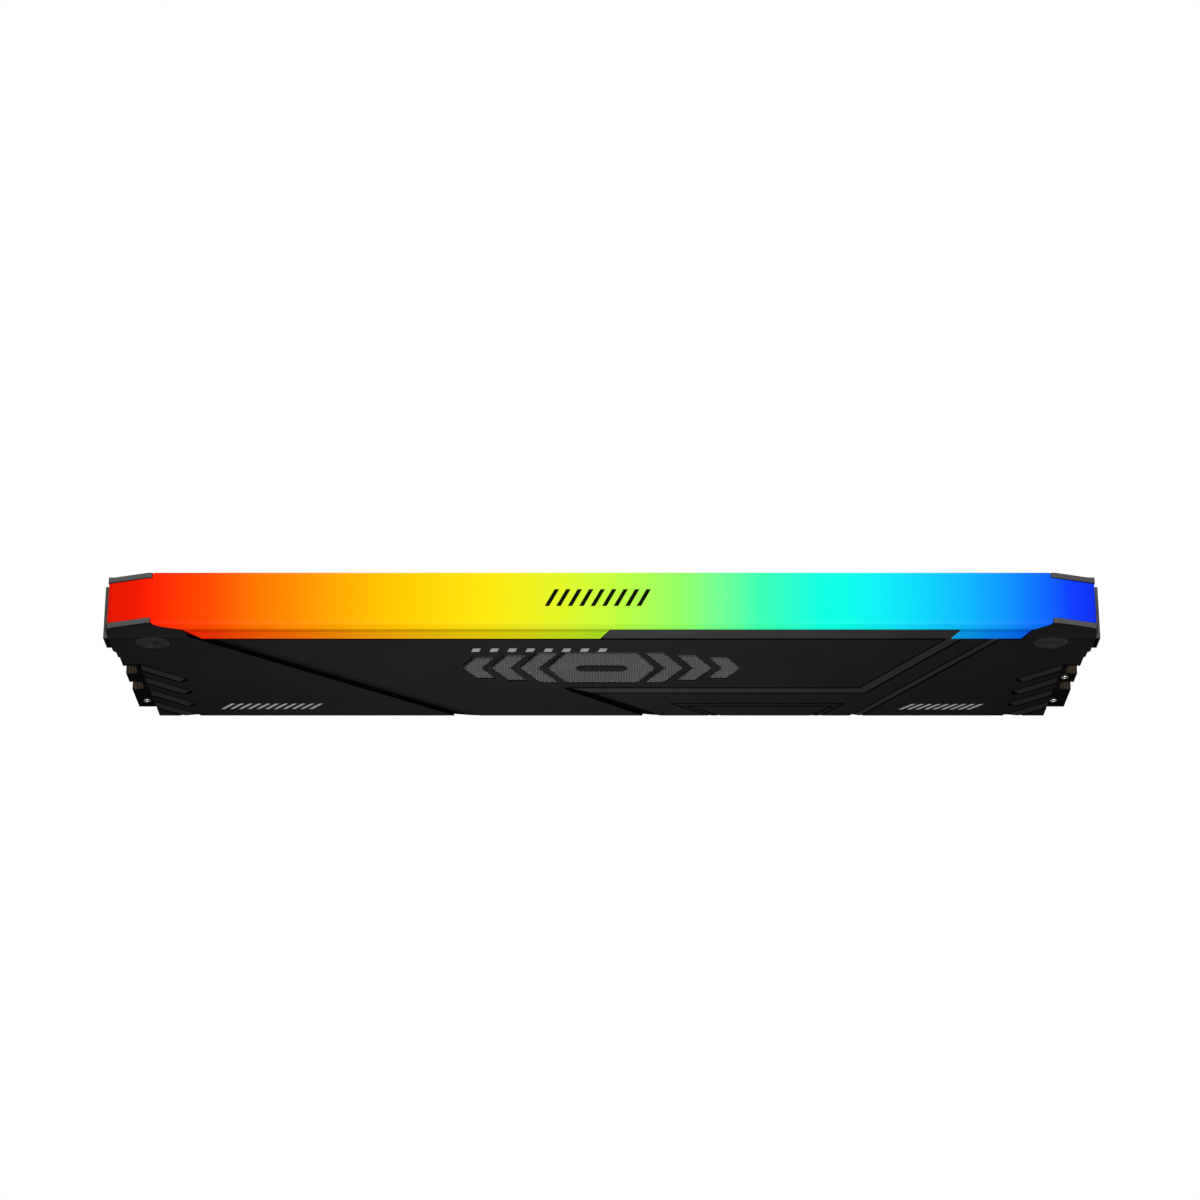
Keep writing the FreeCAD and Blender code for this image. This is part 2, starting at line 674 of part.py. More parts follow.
def gill(side, index):
    """Cutters for one gill at the plate's side: a bevelled slot with a round, level inner end."""
    half = GILL_WIDTH / 2
    reach = GILL_RUN - half
    inner_x = side * (LOWER_HALF_WIDTH - reach)
    inner_z = GILL_TOP_Z - GILL_PITCH * index - reach
    outer_x = side * (LOWER_HALF_WIDTH + OUTSIDE)
    outer_z = inner_z + reach + OUTSIDE
    along = Vector(outer_x - inner_x, 0, outer_z - inner_z)
    along.normalize()
    inner = Vector(inner_x, 0, inner_z)
    level_section = [(half, -OUTSIDE), (half, GROOVE_DEPTH), (-half, GROOVE_DEPTH), (-half, -OUTSIDE)]
    run = groove_along((inner_x, inner_z), (outer_x, outer_z), level_section)
    round_centre = Vector(inner_x, -FACE_Y - OUTSIDE, inner_z)
    round_end = Part.makeCylinder(half, OUTSIDE + GROOVE_DEPTH, round_centre, Vector(0, 1, 0))
    cap_start = inner - along * GILL_CAP_START
    cap_end = inner - along * GILL_WIDTH
    cap_section = [(across * 2, depth) for across, depth in level_section]
    inner_end = groove_along((cap_start.x, cap_start.z), (cap_end.x, cap_end.z), cap_section)
    cap = round_end.common(inner_end)
    across = upper_side(along)
    start = cap_start + across * half
    end = Vector(outer_x, 0, outer_z) + across * half + along
    bevel_width = GILL_WIDTH - GILL_FLOOR_WIDTH - FOOT_LINE_WIDTH
    bevelled = bevelled_groove((start.x, start.z), (end.x, end.z), GILL_FLOOR_WIDTH, bevel_width)
    return [run.fuse(round_end).common(bevelled), cap]


def fold_wedge():
    """The second broad fold: a wedge from the level groove's left tip down to the bottom edge."""
    bottom = PLATE_BOTTOM - OUTSIDE
    outline = [(-4.85, 17.5), (-3.4, 17.5), (-1.0, 15.8), (10.0, bottom), (6.8, bottom), (-4.0, 16.3)]
    floor = fold_groove((-6.6, 18.8), (7.0, bottom - 0.2), WEDGE_WIDTH, WEDGE_EASE_DEPTH, FOLD_EASE_WIDTH)
    return prism(outline, -FACE_Y - OUTSIDE, FACE_Y).common(floor)


def panel_grooves():
    """The long grooves that divide the front plate into panels."""
    return [
        fold_groove(FOLD_START, FOLD_END, FOLD_WIDTH, FOLD_EASE_DEPTH, FOLD_EASE_WIDTH),
        fold_wedge(),
        *bent_groove(),
        bevelled_groove(OUTER_CLIMB_START, OUTER_CLIMB_END, CLIMB_FLOOR_WIDTH, NARROW_BEVEL_WIDTH),
    ]


def fine_line(points):
    """Fine groove that runs just inside a closed outline."""
    face = outline_face(points, -FACE_Y - OUTSIDE)
    rim = face.cut(face.makeOffset2D(-OUTLINE_WIDTH))
    return rim.extrude(Vector(0, OUTSIDE + OUTLINE_DEPTH, 0))


def tray_outline_groove():
    """Fine double line around the low panel at the middle of the bottom edge."""
    bottom = PLATE_BOTTOM - OUTSIDE
    outer = [(16.2, bottom), (9.3, 11.9), (34.4, 11.9), (30.7, bottom)]
    inner = [(17.5, bottom), (11.7, 10.8), (32.8, 10.8), (29.5, bottom)]
    return [fine_line(outer), fine_line(inner)]


def corner_slopes():
    """Cutters that lean the plate's top corners inwards."""
    corners = [
        (-FACE_Y, CORNER_SLOPE_START),
        (-CORNER_FACE_Y, CORNER_SLOPE_END),
        (-CORNER_FACE_Y, MODULE_HEIGHT + OUTSIDE),
        (-FACE_Y - OUTSIDE, MODULE_HEIGHT + OUTSIDE),
        (-FACE_Y - OUTSIDE, CORNER_SLOPE_START),
    ]
    left = profile_bar(corners, -HALF_LENGTH, -CORNER_INNER_X)
    right = profile_bar(corners, CORNER_INNER_X, HALF_LENGTH)
    return [left, right]


def strip_bevel():
    """Cutter for the bevelled metal strip under the right half of the bar, with a fine line at its foot."""
    corners = [
        (-FACE_Y + STRIP_LINE_DEPTH, BAND_Z),
        (-FACE_Y, BAND_Z + STRIP_LINE_WIDTH),
        (-BAR_FACE_Y, LEDGE_Z),
        (-BAR_FACE_Y, LEDGE_Z + OUTSIDE),
        (-FACE_Y - OUTSIDE, LEDGE_Z + OUTSIDE),
        (-FACE_Y - OUTSIDE, BAND_Z),
    ]
    return profile_bar(corners, BAND_STEP_X, STRIP_RIGHT_X)


def end_flange(side):
    """Tab that closes the module's end above the board and meets the other half's tab."""
    xs = sorted((side * FLANGE_INNER_X, side * FLANGE_OUTER_X))
    root_xs = sorted((side * (FLANGE_INNER_X - FLANGE_ROOT), side * FLANGE_OUTER_X))
    root_y = -FACE_Y + FLANGE_SETBACK
    tab = box(*xs, root_y, -HALF_GAP, FLANGE_BOTTOM, FLANGE_TOP)
    root = box(*root_xs, root_y, -PLATE_INNER_Y, FLANGE_BOTTOM, FLANGE_TOP)
    return [tab, root]


def heat_spreader_front():
    plate = prism(plate_outline(), -FACE_Y, -PLATE_INNER_Y)
    plate = plate.fuse(end_flange(-1) + end_flange(1)).removeSplitter()
    window = prism(window_outline(), -FACE_Y - OUTSIDE, FACE_Y)
    cutters = [window, strip_bevel()]
    cutters += corner_slopes()
    cutters += tray_outline_groove()
    cutters += panel_grooves()
    cutters += emblem_recess()
    for side in (-1, 1):
        for index in range(GILL_COUNT):
            cutters += gill(side, index)
        head_foot = -FACE_Y + HEAD_THICKNESS
        cutters.append(clamp_bore(side, BARREL_RADIUS + BORE_CLEARANCE, FACE_Y + OUTSIDE))
        cutters.append(rod(side * SCREW_X, HEAD_RADIUS + HEAD_CLEARANCE, -FACE_Y - OUTSIDE, head_foot))
    for cutter in cutters:
        plate = plate.cut(cutter)
    return plate


# ---------------------------------------------------------------- write every sub-part


def main():
    save("circuit_board", circuit_board())
    save("edge_contacts_front", edge_contacts(-1))
    save("edge_contacts_back", edge_contacts(1))
    for number, x in enumerate(chip_positions(), start=1):
        chip = memory_chip(x)
        save("memory_chip_front_" + str(number), chip)
        save("memory_chip_back_" + str(number), turned(chip))
    save("settings_chip", front_component(0.0, SETTINGS_CHIP_Z, *SETTINGS_CHIP_SIZE))
    save("light_controller_chip", front_component(0.0, LIGHT_CONTROLLER_Z, *LIGHT_CONTROLLER_SIZE))
    save("bulk_capacitors", bulk_capacitors())
    for name, group in (
        ("decoupling_capacitors", decoupling_capacitors()),
        ("resistor_packs", resistor_packs()),
        ("light_diodes", light_emitting_diodes()),
        ("thermal_pad", thermal_pad()),
        ("emblem_inlay", emblem_inlay()),
        ("heat_spreader", heat_spreader_front()),
    ):
        save(name + "_front", group)
        save(name + "_back", turned(group))
    save("light_bar_diffuser", light_bar_diffuser())
    for side, x in (("left", -SCREW_X), ("right", SCREW_X)):
        save("clamp_screw_" + side, clamp_screw(x))
        save("clamp_sleeve_" + side, clamp_sleeve(x))


main()
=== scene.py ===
"""Looks of the desktop memory module: finishes, fine pieces, stage, light and camera.

Metres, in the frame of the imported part: +Z up, the front looks towards -Y.
"""

import math

import bmesh
import bpy
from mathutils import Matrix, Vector


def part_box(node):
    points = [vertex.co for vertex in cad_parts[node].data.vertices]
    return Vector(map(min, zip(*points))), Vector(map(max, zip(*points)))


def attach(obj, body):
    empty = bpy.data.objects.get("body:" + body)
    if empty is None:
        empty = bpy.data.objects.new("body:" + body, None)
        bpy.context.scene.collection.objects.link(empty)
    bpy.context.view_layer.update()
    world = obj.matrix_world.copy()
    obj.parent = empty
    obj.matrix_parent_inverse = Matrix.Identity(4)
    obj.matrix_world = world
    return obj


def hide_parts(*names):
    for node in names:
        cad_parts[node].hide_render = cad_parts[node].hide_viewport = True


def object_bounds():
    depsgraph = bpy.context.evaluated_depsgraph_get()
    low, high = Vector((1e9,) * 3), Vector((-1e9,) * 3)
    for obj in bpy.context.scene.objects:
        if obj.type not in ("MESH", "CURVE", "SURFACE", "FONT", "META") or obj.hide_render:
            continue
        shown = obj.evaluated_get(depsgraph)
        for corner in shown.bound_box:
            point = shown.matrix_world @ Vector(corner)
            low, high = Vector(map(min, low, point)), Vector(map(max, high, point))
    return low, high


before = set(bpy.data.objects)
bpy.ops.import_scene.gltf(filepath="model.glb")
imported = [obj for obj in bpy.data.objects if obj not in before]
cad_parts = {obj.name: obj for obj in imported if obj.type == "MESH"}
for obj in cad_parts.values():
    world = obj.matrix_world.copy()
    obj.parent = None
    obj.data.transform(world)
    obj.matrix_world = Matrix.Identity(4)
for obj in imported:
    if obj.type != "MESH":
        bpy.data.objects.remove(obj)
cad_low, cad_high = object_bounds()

MM = 0.001
SIDES = (("front", -1), ("back", 1))
ENDS = (("left", -1), ("right", 1))


# ---------------------------------------------------------------- node wiring


class Wiring:
    """Adds nodes to one node tree and joins them."""

    def __init__(self, tree):
        self.tree = tree

    def node(self, kind, **settings):
        made = self.tree.nodes.new(kind)
        for name, value in settings.items():
            setattr(made, name, value)
        return made

    def join(self, value, socket):
        """Join an output to a socket, or set the socket to a plain value."""
        if isinstance(value, bpy.types.NodeSocket):
            self.tree.links.new(value, socket)
        else:
            socket.default_value = value

    def feed(self, made, **values):
        """Join values to a node's inputs by name, with _ for a space."""
        for name, value in values.items():
            self.join(value, made.inputs[name.replace("_", " ")])

    def group(self, tree, **values):
        """Places a shader group and returns its outputs."""
        made = self.node("ShaderNodeGroup", node_tree=tree)
        self.feed(made, **values)
        return made.outputs

    def maths(self, operation, *values):
        made = self.node("ShaderNodeMath", operation=operation)
        for index, value in enumerate(values):
            self.join(value, made.inputs[index])
        return made.outputs[0]

    def product(self, first, *others):
        for other in others:
            first = self.maths("MULTIPLY", first, other)
        return first

    def greatest(self, first, *others):
        for other in others:
            first = self.maths("MAXIMUM", first, other)
        return first

    def distance(self, value, middle):
        return self.maths("ABSOLUTE", self.maths("SUBTRACT", value, middle))

    def rest_of(self, share):
        return self.maths("SUBTRACT", 1.0, share)

    def ramp_between(self, value, low, high, at_low=0.0, at_high=1.0):
        """A smooth step from at_low to at_high as value goes from low to high."""
        made = self.node("ShaderNodeMapRange", interpolation_type="SMOOTHSTEP")
        self.feed(made, Value=value, From_Min=low, From_Max=high, To_Min=at_low, To_Max=at_high)
        return made.outputs["Result"]

    def vector(self, operation, *values, output=0):
        made = self.node("ShaderNodeVectorMath", operation=operation)
        for index, value in enumerate(values):
            self.join(value, made.inputs[index])
        return made.outputs[output]

    def combined(self, x=0.0, y=0.0, z=0.0):
        """A vector from its three parts."""
        made = self.node("ShaderNodeCombineXYZ")
        self.feed(made, X=x, Y=y, Z=z)
        return made.outputs[0]

    def xyz(self, vector):
        """A vector's three parts."""
        made = self.node("ShaderNodeSeparateXYZ")
        self.join(vector, made.inputs[0])
        return made.outputs

    def point(self):
        """The point that is shaded, in metres in the module's frame."""
        return self.node("ShaderNodeTexCoord").outputs["Object"]

    def point_in_mm(self):
        return self.vector("MULTIPLY", self.point(), (1000, 1000, 1000))

    def flat_normal(self):
        return self.node("ShaderNodeNewGeometry").outputs["True Normal"]

    def noise(self, point, scale, **values):
        made = self.node("ShaderNodeTexNoise")
        self.feed(made, Vector=point, Scale=scale, **values)
        return made.outputs[0]

    def blend(self, share, first, second, mode="MIX"):
        """Mixes two colours."""
        made = self.node("ShaderNodeMix", data_type="RGBA", blend_type=mode, clamp_factor=True)
        self.join(share, made.inputs[0])
        self.join(first, made.inputs[6])
        self.join(second, made.inputs[7])
        return made.outputs[2]

    def grey(self, value):
        """A grey colour from one number."""
        made = self.node("ShaderNodeCombineColor")
        for index in range(3):
            self.join(value, made.inputs[index])
        return made.outputs[0]


SOCKETS = {
    "number": "NodeSocketFloat",
    "whole": "NodeSocketInt",
    "vector": "NodeSocketVector",
    "geometry": "NodeSocketGeometry",
    "object": "NodeSocketObject",
    "material": "NodeSocketMaterial",
}


def new_tree(name, kind, takes, gives):
    """A node group with named inputs and outputs. takes and gives hold (name, socket kind) pairs."""
    tree = bpy.data.node_groups.new(name, kind)
    for in_out, sockets in (("INPUT", takes), ("OUTPUT", gives)):
        for label, socket_kind in sockets:
            tree.interface.new_socket(label, in_out=in_out, socket_type=SOCKETS[socket_kind])
    wires = Wiring(tree)
    return wires, wires.node("NodeGroupInput").outputs, wires.node("NodeGroupOutput").inputs


def shader_tree(name, takes, gives):
    return new_tree(name, "ShaderNodeTree", takes, gives)


def numbers(*names):
    return [(name, "number") for name in names]


# ---------------------------------------------------------------- shared shader effects


def make_places():
    """Where a point lies, in millimetres: across as seen from its own side, depth from the middle, height.

    Upward is the upward part of the face's normal.
    """
    wires, _, gives = shader_tree("places", [], numbers("Across", "Depth", "Height", "Upward"))
    x, y, z = wires.xyz(wires.point_in_mm())
    wires.join(wires.product(x, wires.maths("SIGN", y), -1.0), gives["Across"])
    wires.join(wires.maths("ABSOLUTE", y), gives["Depth"])
    wires.join(z, gives["Height"])
    wires.join(wires.xyz(wires.flat_normal())[2], gives["Upward"])
    return wires.tree


def make_grain():
    """Fine grain of a coated or moulded surface: a tone round 1 and a height."""
    wires, takes, gives = shader_tree(
        "grain", numbers("Grains Per Metre", "Tone Change", "Stretch"), numbers("Tone", "Height")
    )
    patches_per_grain = 0.03
    placed = wires.vector("MULTIPLY", wires.point(), wires.combined(takes["Stretch"], 1.0, 1.0))
    fine = wires.noise(placed, takes["Grains Per Metre"], Detail=3.0)
    broad = wires.noise(placed, wires.product(takes["Grains Per Metre"], patches_per_grain))
    both = wires.maths("ADD", fine, broad)
    change = wires.product(wires.maths("SUBTRACT", both, 1.0), takes["Tone Change"])
    wires.join(wires.maths("ADD", change, 1.0), gives["Tone"])
    wires.join(fine, gives["Height"])
    return wires.tree


def make_worn_edge():
    """1 along a piece's sharp edges and 0 elsewhere, broken up a little; it marks edge wear and a painted
    edge highlight.
    """
    wires, takes, gives = shader_tree("worn edge", numbers("Reach", "Wear"), numbers("Edge"))
    rubs_per_metre = 900.0
    rounded = wires.node("ShaderNodeBevel", samples=6)
    wires.feed(rounded, Radius=takes["Reach"])
    alike = wires.vector("DOT_PRODUCT", rounded.outputs[0], wires.flat_normal(), output=1)
    edge = wires.ramp_between(alike, 0.995, 0.85)
    rubbed = wires.ramp_between(wires.noise(wires.point(), rubs_per_metre), 0.35, 0.65)
    wires.join(wires.product(edge, rubbed, takes["Wear"]), gives["Edge"])
    return wires.tree


def make_dashes():
    """A printed row of leaning dashes: 1 on the print, 0 beside it. Lengths are in millimetres."""
    wires, takes, gives = shader_tree(
        "leaning dashes",
        numbers("Along", "Up", "Centre Along", "Centre Up", "Length", "Height", "Pitch", "Share", "Lean"),
        numbers("Print"),
    )
    half_height = wires.product(takes["Height"], 0.5)
    half_length = wires.product(takes["Length"], 0.5)
    rise = wires.maths("SUBTRACT", takes["Up"], takes["Centre Up"])
    run = wires.maths("SUBTRACT", takes["Along"], takes["Centre Along"])
    leaning = wires.maths("SUBTRACT", run, wires.product(rise, takes["Lean"]))
    in_height = wires.maths("LESS_THAN", wires.maths("ABSOLUTE", rise), half_height)
    in_length = wires.maths("LESS_THAN", wires.maths("ABSOLUTE", leaning), half_length)
    from_start = wires.maths("DIVIDE", wires.maths("ADD", leaning, half_length), takes["Pitch"])
    on_dash = wires.maths("LESS_THAN", wires.maths("FRACT", from_start), takes["Share"])
    wires.join(wires.product(in_height, in_length, on_dash), gives["Print"])
    return wires.tree


def make_routing():
    """Copper traces in parallel bundles that turn from patch to patch. Lengths are in millimetres."""
    wires, takes, gives = shader_tree(
        "routing", numbers("Along", "Up", "Pitch", "Copper Share", "Patch Size"), numbers("Trace")
    )
    level_above = 0.55
    slanting_below = 0.3
    soft_edge = 0.03
    patches = wires.node("ShaderNodeTexVoronoi", feature="F1", distance="CHEBYCHEV")
    scale = wires.maths("DIVIDE", 1.0, takes["Patch Size"])
    wires.feed(patches, Vector=wires.combined(takes["Along"], takes["Up"]), Scale=scale)
    lot = wires.xyz(patches.outputs["Color"])[0]
    level = wires.maths("GREATER_THAN", lot, level_above)
    slanting = wires.maths("LESS_THAN", lot, slanting_below)
    across = wires.product(takes["Along"], wires.rest_of(level))
    up = wires.product(takes["Up"], wires.greatest(level, slanting))
    lanes = wires.maths("DIVIDE", wires.maths("ADD", across, up), takes["Pitch"])
    from_lane = wires.distance(wires.maths("FRACT", lanes), 0.5)
    beside = wires.maths("SUBTRACT", from_lane, wires.product(takes["Copper Share"], 0.5))
    wires.join(wires.ramp_between(beside, soft_edge, -soft_edge), gives["Trace"])
    return wires.tree


PLACES = make_places()
GRAIN = make_grain()
WORN_AND_HIGHLIT_EDGE = make_worn_edge()
DASHES = make_dashes()
ROUTING = make_routing()


# ---------------------------------------------------------------- materials

PRINTED_ROWS = (
    dict(Centre_Along=-8.2, Centre_Up=33.2, Length=18.4, Height=1.3, Pitch=2.43, Share=0.42, Lean=0.25),
    dict(Centre_Along=-46.1, Centre_Up=10.5, Length=13.6, Height=2.3, Pitch=1.24, Share=0.42, Lean=0.75),
    dict(Centre_Along=48.2, Centre_Up=10.3, Length=10.8, Height=2.3, Pitch=1.2, Share=0.42, Lean=0.75),
)
BAR_ROW = dict(Centre_Along=-0.3, Centre_Up=0.0, Length=13.2, Height=2.4, Pitch=1.52, Share=0.4, Lean=0.55)
BAR_HALF_LENGTH = 66.7
BAR_COLOURS = (  # millimetres along the bar from its middle, and the glow there
    (-66.0, (0.69, 0.009, 0.0)),
    (-62.0, (0.80, 0.009, 0.0)),
    (-58.5, (1.0, 0.02, 0.0)),
    (-51.7, (0.98, 0.068, 0.0)),
    (-39.8, (1.0, 0.27, 0.0)),
    (-26.6, (1.0, 0.56, 0.0)),
    (-15.0, (0.92, 0.745, 0.003)),
    (-5.4, (0.71, 0.86, 0.02)),
    (2.6, (0.47, 0.93, 0.05)),
    (10.5, (0.27, 1.0, 0.125)),
    (21.0, (0.04, 1.0, 0.42)),
    (29.0, (0.005, 1.0, 0.71)),
    (37.0, (0.004, 0.8, 0.85)),
    (43.6, (0.004, 0.59, 0.92)),
    (50.2, (0.004, 0.385, 0.94)),
    (56.8, (0.004, 0.175, 0.95)),
    (62.0, (0.005, 0.05, 0.93)),
    (66.0, (0.005, 0.025, 0.80)),
)


def new_material(name, **settings):
    """A Principled material. Returns it with its wiring and its shader's inputs."""
    material = bpy.data.materials.new(name)
    material.use_nodes = True
    wires = Wiring(material.node_tree)
    shader = next(node for node in wires.tree.nodes if node.type == "BSDF_PRINCIPLED")
    for socket, value in settings.items():
        shader.inputs[socket.replace("_", " ")].default_value = value
    return material, wires, shader.inputs


def grain_of(wires, grains_per_metre, tone_change, stretch=1.0):
    return wires.group(
        GRAIN, Grains_Per_Metre=grains_per_metre, Tone_Change=tone_change, Stretch=stretch
    )


def dress(wires, shader, colour, roughness, relief, relief_height):
    """Joins a finish's colour, roughness and fine relief to its shader."""
    wires.join(colour, shader["Base Color"])
    wires.join(roughness, shader["Roughness"])
    bump = wires.node("ShaderNodeBump")
    wires.feed(bump, Distance=relief_height, Height=relief)
    wires.join(bump.outputs[0], shader["Normal"])


def black_coated_metal():
    """The spreader's satin black coat, with painted shade in its grooves, folds and seam, a painted
    highlight on its upward bevels, paler cut edges at the ends that are partly bare metal and partly
    painted highlight, and painted light that is brightest near the middle and towards the top.

    Each mask is a soft step, between two places in millimetres or between two slopes.
    """
    material, wires, shader = new_material("black_coated_metal", Specular_IOR_Level=0.04)
    place = wires.group(PLACES)
    grain = grain_of(wires, 5200.0, 0.35)
    across = place["Across"]
    height = place["Height"]
    upward = place["Upward"]
    coat_tone = 0.018
    painted_light_middle = -6.0
    seam_middle = 1.3
    strip_middle = 23.7
    bevel_highlight_gain = 1.2
    shade_share = 0.98
    cut_edge_highlight_tone = 0.06
    worn_and_highlit_coat = (0.035, 0.034, 0.032, 1)
    pale_print = (0.36, 0.36, 0.365, 1)

    # painted light: the coat is brightest just left of the middle, as seen from each side, and towards the
    # top, and darker towards the ends and the bottom
    along = wires.ramp_between(wires.distance(across, painted_light_middle), 8.0, 70.0, 1.0, 0.42)
    rise = wires.ramp_between(height, 8.0, 36.0, 0.8, 1.0)
    square_on = wires.ramp_between(wires.maths("ABSOLUTE", upward), 0.03, 0.01)
    low_down = wires.ramp_between(height, 38.6, 38.3)

    # painted shade: fold floors, groove floors, faces that tilt well upward and the seam under the strip
    # are darkened in the coat's colour
    fold_shade = wires.ramp_between(upward, -0.03, -0.065)
    sunk = wires.ramp_between(place["Depth"], 4.14, 4.125)
    groove_floor_shade = wires.product(sunk, square_on, low_down)
    steep_face_shade = wires.ramp_between(upward, 0.4, 0.43)
    seam_shade = wires.product(
        wires.ramp_between(height, 37.12, 37.2),
        wires.ramp_between(wires.distance(across, seam_middle), 54.6, 54.4),
        wires.ramp_between(height, 37.56, 37.52),
        square_on,
    )
    painted_groove_shade = wires.greatest(fold_shade, groove_floor_shade, steep_face_shade, seam_shade)

    on_strip = wires.product(
        wires.ramp_between(upward, 0.18, 0.2),
        wires.ramp_between(wires.distance(across, strip_middle), 24.6, 24.4),
    )
    # painted highlight: bevels that face a little upward, low down and on the strip, are made paler as if
    # lit from above
    bevel = wires.product(
        wires.ramp_between(upward, 0.03, 0.045),
        wires.ramp_between(upward, 0.41, 0.38),
        wires.greatest(low_down, on_strip),
    )

    # cut edges at the ends are paler, partly for their bare metal and partly as a painted highlight of the
    # light from above
    at_end = wires.product(
        wires.ramp_between(wires.maths("ABSOLUTE", across), 59.4, 59.6),
        wires.ramp_between(height, 36.0, 36.2),
    )
    sideways = wires.maths("ABSOLUTE", wires.xyz(wires.flat_normal())[0])
    cut_edge_and_highlight = wires.greatest(
        wires.product(wires.ramp_between(upward, 0.85, 0.9), at_end),
        wires.product(wires.ramp_between(sideways, 0.9, 0.95), at_end),
    )
    painted_groove_shade = wires.product(painted_groove_shade, wires.rest_of(cut_edge_and_highlight))

    # the painted light, the painted bevel highlight and the painted groove shade all go into the coat's
    # colour here
    tone = wires.product(
        along,
        rise,
        coat_tone,
        wires.maths("MULTIPLY_ADD", bevel, bevel_highlight_gain, 1.0),
        wires.rest_of(wires.product(painted_groove_shade, shade_share)),
        grain["Tone"],
    )
    # edge wear and a painted edge highlight, kept out of the painted groove shade
    worn_and_highlit = wires.product(wires.group(WORN_AND_HIGHLIT_EDGE, Reach=0.09 * MM, Wear=0.3)[0], wires.rest_of(painted_groove_shade))
    rows = [wires.group(DASHES, Along=across, Up=height, **row)[0] for row in PRINTED_ROWS]
    ink = wires.product(wires.greatest(*rows), wires.ramp_between(place["Depth"], 4.1, 4.15))
    colour = wires.blend(worn_and_highlit, wires.grey(tone), worn_and_highlit_coat)
    colour = wires.blend(cut_edge_and_highlight, colour, wires.grey(wires.product(grain["Tone"], cut_edge_highlight_tone)))
    colour = wires.blend(ink, colour, pale_print)
    roughness = wires.maths("MULTIPLY_ADD", grain["Tone"], 0.12, 0.42)
    dress(wires, shader, colour, roughness, grain["Height"], 0.004 * MM)
    return material


def rainbow_along(wires, x):
    """The bar's glow at each place along it."""
    share = wires.node("ShaderNodeMapRange")
    wires.feed(share, Value=x, From_Min=-BAR_HALF_LENGTH, From_Max=BAR_HALF_LENGTH)
    ramp = wires.node("ShaderNodeValToRGB")
    wires.join(share.outputs[0], ramp.inputs[0])
    elements = ramp.color_ramp.elements
    while len(elements) < len(BAR_COLOURS):
        elements.new(0.5)
    for element, (along, colour) in zip(elements, BAR_COLOURS):
        element.position = (along + BAR_HALF_LENGTH) / (2 * BAR_HALF_LENGTH)
        element.color = (*colour, 1)
    return ramp.outputs[0]


def glowing_bar():
    """Milky plastic lit from within, through the rainbow from one end to the other, with painted shade on
    its sides and along its crease and a faint painted highlight on its rounded top edges.
    """
    material, wires, shader = new_material("glowing_bar", Specular_IOR_Level=0.01, Emission_Strength=1.0)
    place = wires.group(PLACES)
    milky = grain_of(wires, 2600.0, 0.05)
    height = place["Height"]
    upward = place["Upward"]
    x, y, _ = wires.xyz(wires.point_in_mm())
    crease_height = 39.65
    rim_highlight_share = 0.006
    side_shade_share = 0.6
    depth_of_colour = 1.45
    below_crease_shade = (0.69, 0.69, 0.69, 1)
    side_shade = (0.85, 0.85, 0.85, 1)
    rim_highlight_white = (1, 1, 0.9, 1)
    dark_print = (0.004, 0.007, 0.003, 1)
    unlit_share = (0.06, 0.06, 0.06, 1)

    on_side = wires.ramp_between(upward, 0.5, 0.1)
    below_crease = wires.ramp_between(height, 39.95, 39.6)
    # painted shade along the crease where the bar's face meets the band below it
    crease_shade = wires.ramp_between(wires.distance(height, crease_height), 0.12, 0.6, 0.62, 1.0)
    # painted highlight along the rounded top edges of the bar, short of its ends
    rim_highlight = wires.product(
        wires.ramp_between(upward, 0.3, 0.5),
        wires.ramp_between(upward, 0.985, 0.95),
        wires.ramp_between(height, 41.4, 41.5),
        wires.ramp_between(wires.maths("ABSOLUTE", place["Across"]), 59.3, 58.8),
    )

    rainbow = rainbow_along(wires, x)
    # painted shade: the sides glow darker than the top, and the band below the crease darker still and
    # deeper in colour
    deeper = wires.node("ShaderNodeGamma")
    wires.feed(deeper, Color=rainbow, Gamma=depth_of_colour)
    shaded = wires.blend(1.0, deeper.outputs[0], below_crease_shade, "MULTIPLY")
    glow = wires.blend(wires.product(on_side, below_crease), rainbow, shaded)
    glow = wires.blend(wires.product(on_side, side_shade_share), glow, side_shade, "MULTIPLY")
    glow = wires.blend(1.0, glow, wires.grey(wires.product(crease_shade, milky["Tone"])), "MULTIPLY")
    glow = wires.blend(wires.product(rim_highlight, rim_highlight_share), glow, rim_highlight_white)
    row = wires.group(DASHES, Along=x, Up=y, **BAR_ROW)[0]
    glow = wires.blend(wires.product(row, wires.ramp_between(upward, 0.9, 0.95)), glow, dark_print)
    wires.join(glow, shader["Emission Color"])
    unlit = wires.blend(1.0, glow, unlit_share, "MULTIPLY")
    dress(wires, shader, unlit, 0.4, milky["Height"], 0.003 * MM)
    return material


def dark_metal(
    name, tone, worn_and_highlit_colour, roughness, grains, tone_change, stretch, reach, wear_and_highlight, relief, gloss
):
    """A dark metal with fine grain, paler along its edges, partly for wear and partly as a painted edge
    highlight.
    """
    material, wires, shader = new_material(name, Specular_IOR_Level=gloss)
    grain = grain_of(wires, grains, tone_change, stretch)
    worn_and_highlit = wires.group(WORN_AND_HIGHLIT_EDGE, Reach=reach, Wear=wear_and_highlight)[0]
    colour = wires.blend(worn_and_highlit, wires.grey(wires.product(grain["Tone"], tone)), (*worn_and_highlit_colour, 1))
    dress(wires, shader, colour, wires.product(grain["Tone"], roughness), grain["Height"], relief)
    return material


def brushed_emblem_metal():
    return dark_metal(
        "grey_emblem_metal",
        tone=0.055,
        worn_and_highlit_colour=(0.11, 0.11, 0.11),
        roughness=0.45,
        grains=4200.0,
        tone_change=0.6,
        stretch=0.3,
        reach=0.06 * MM,
        wear_and_highlight=0.7,
        relief=0.004 * MM,
        gloss=0.15,
    )


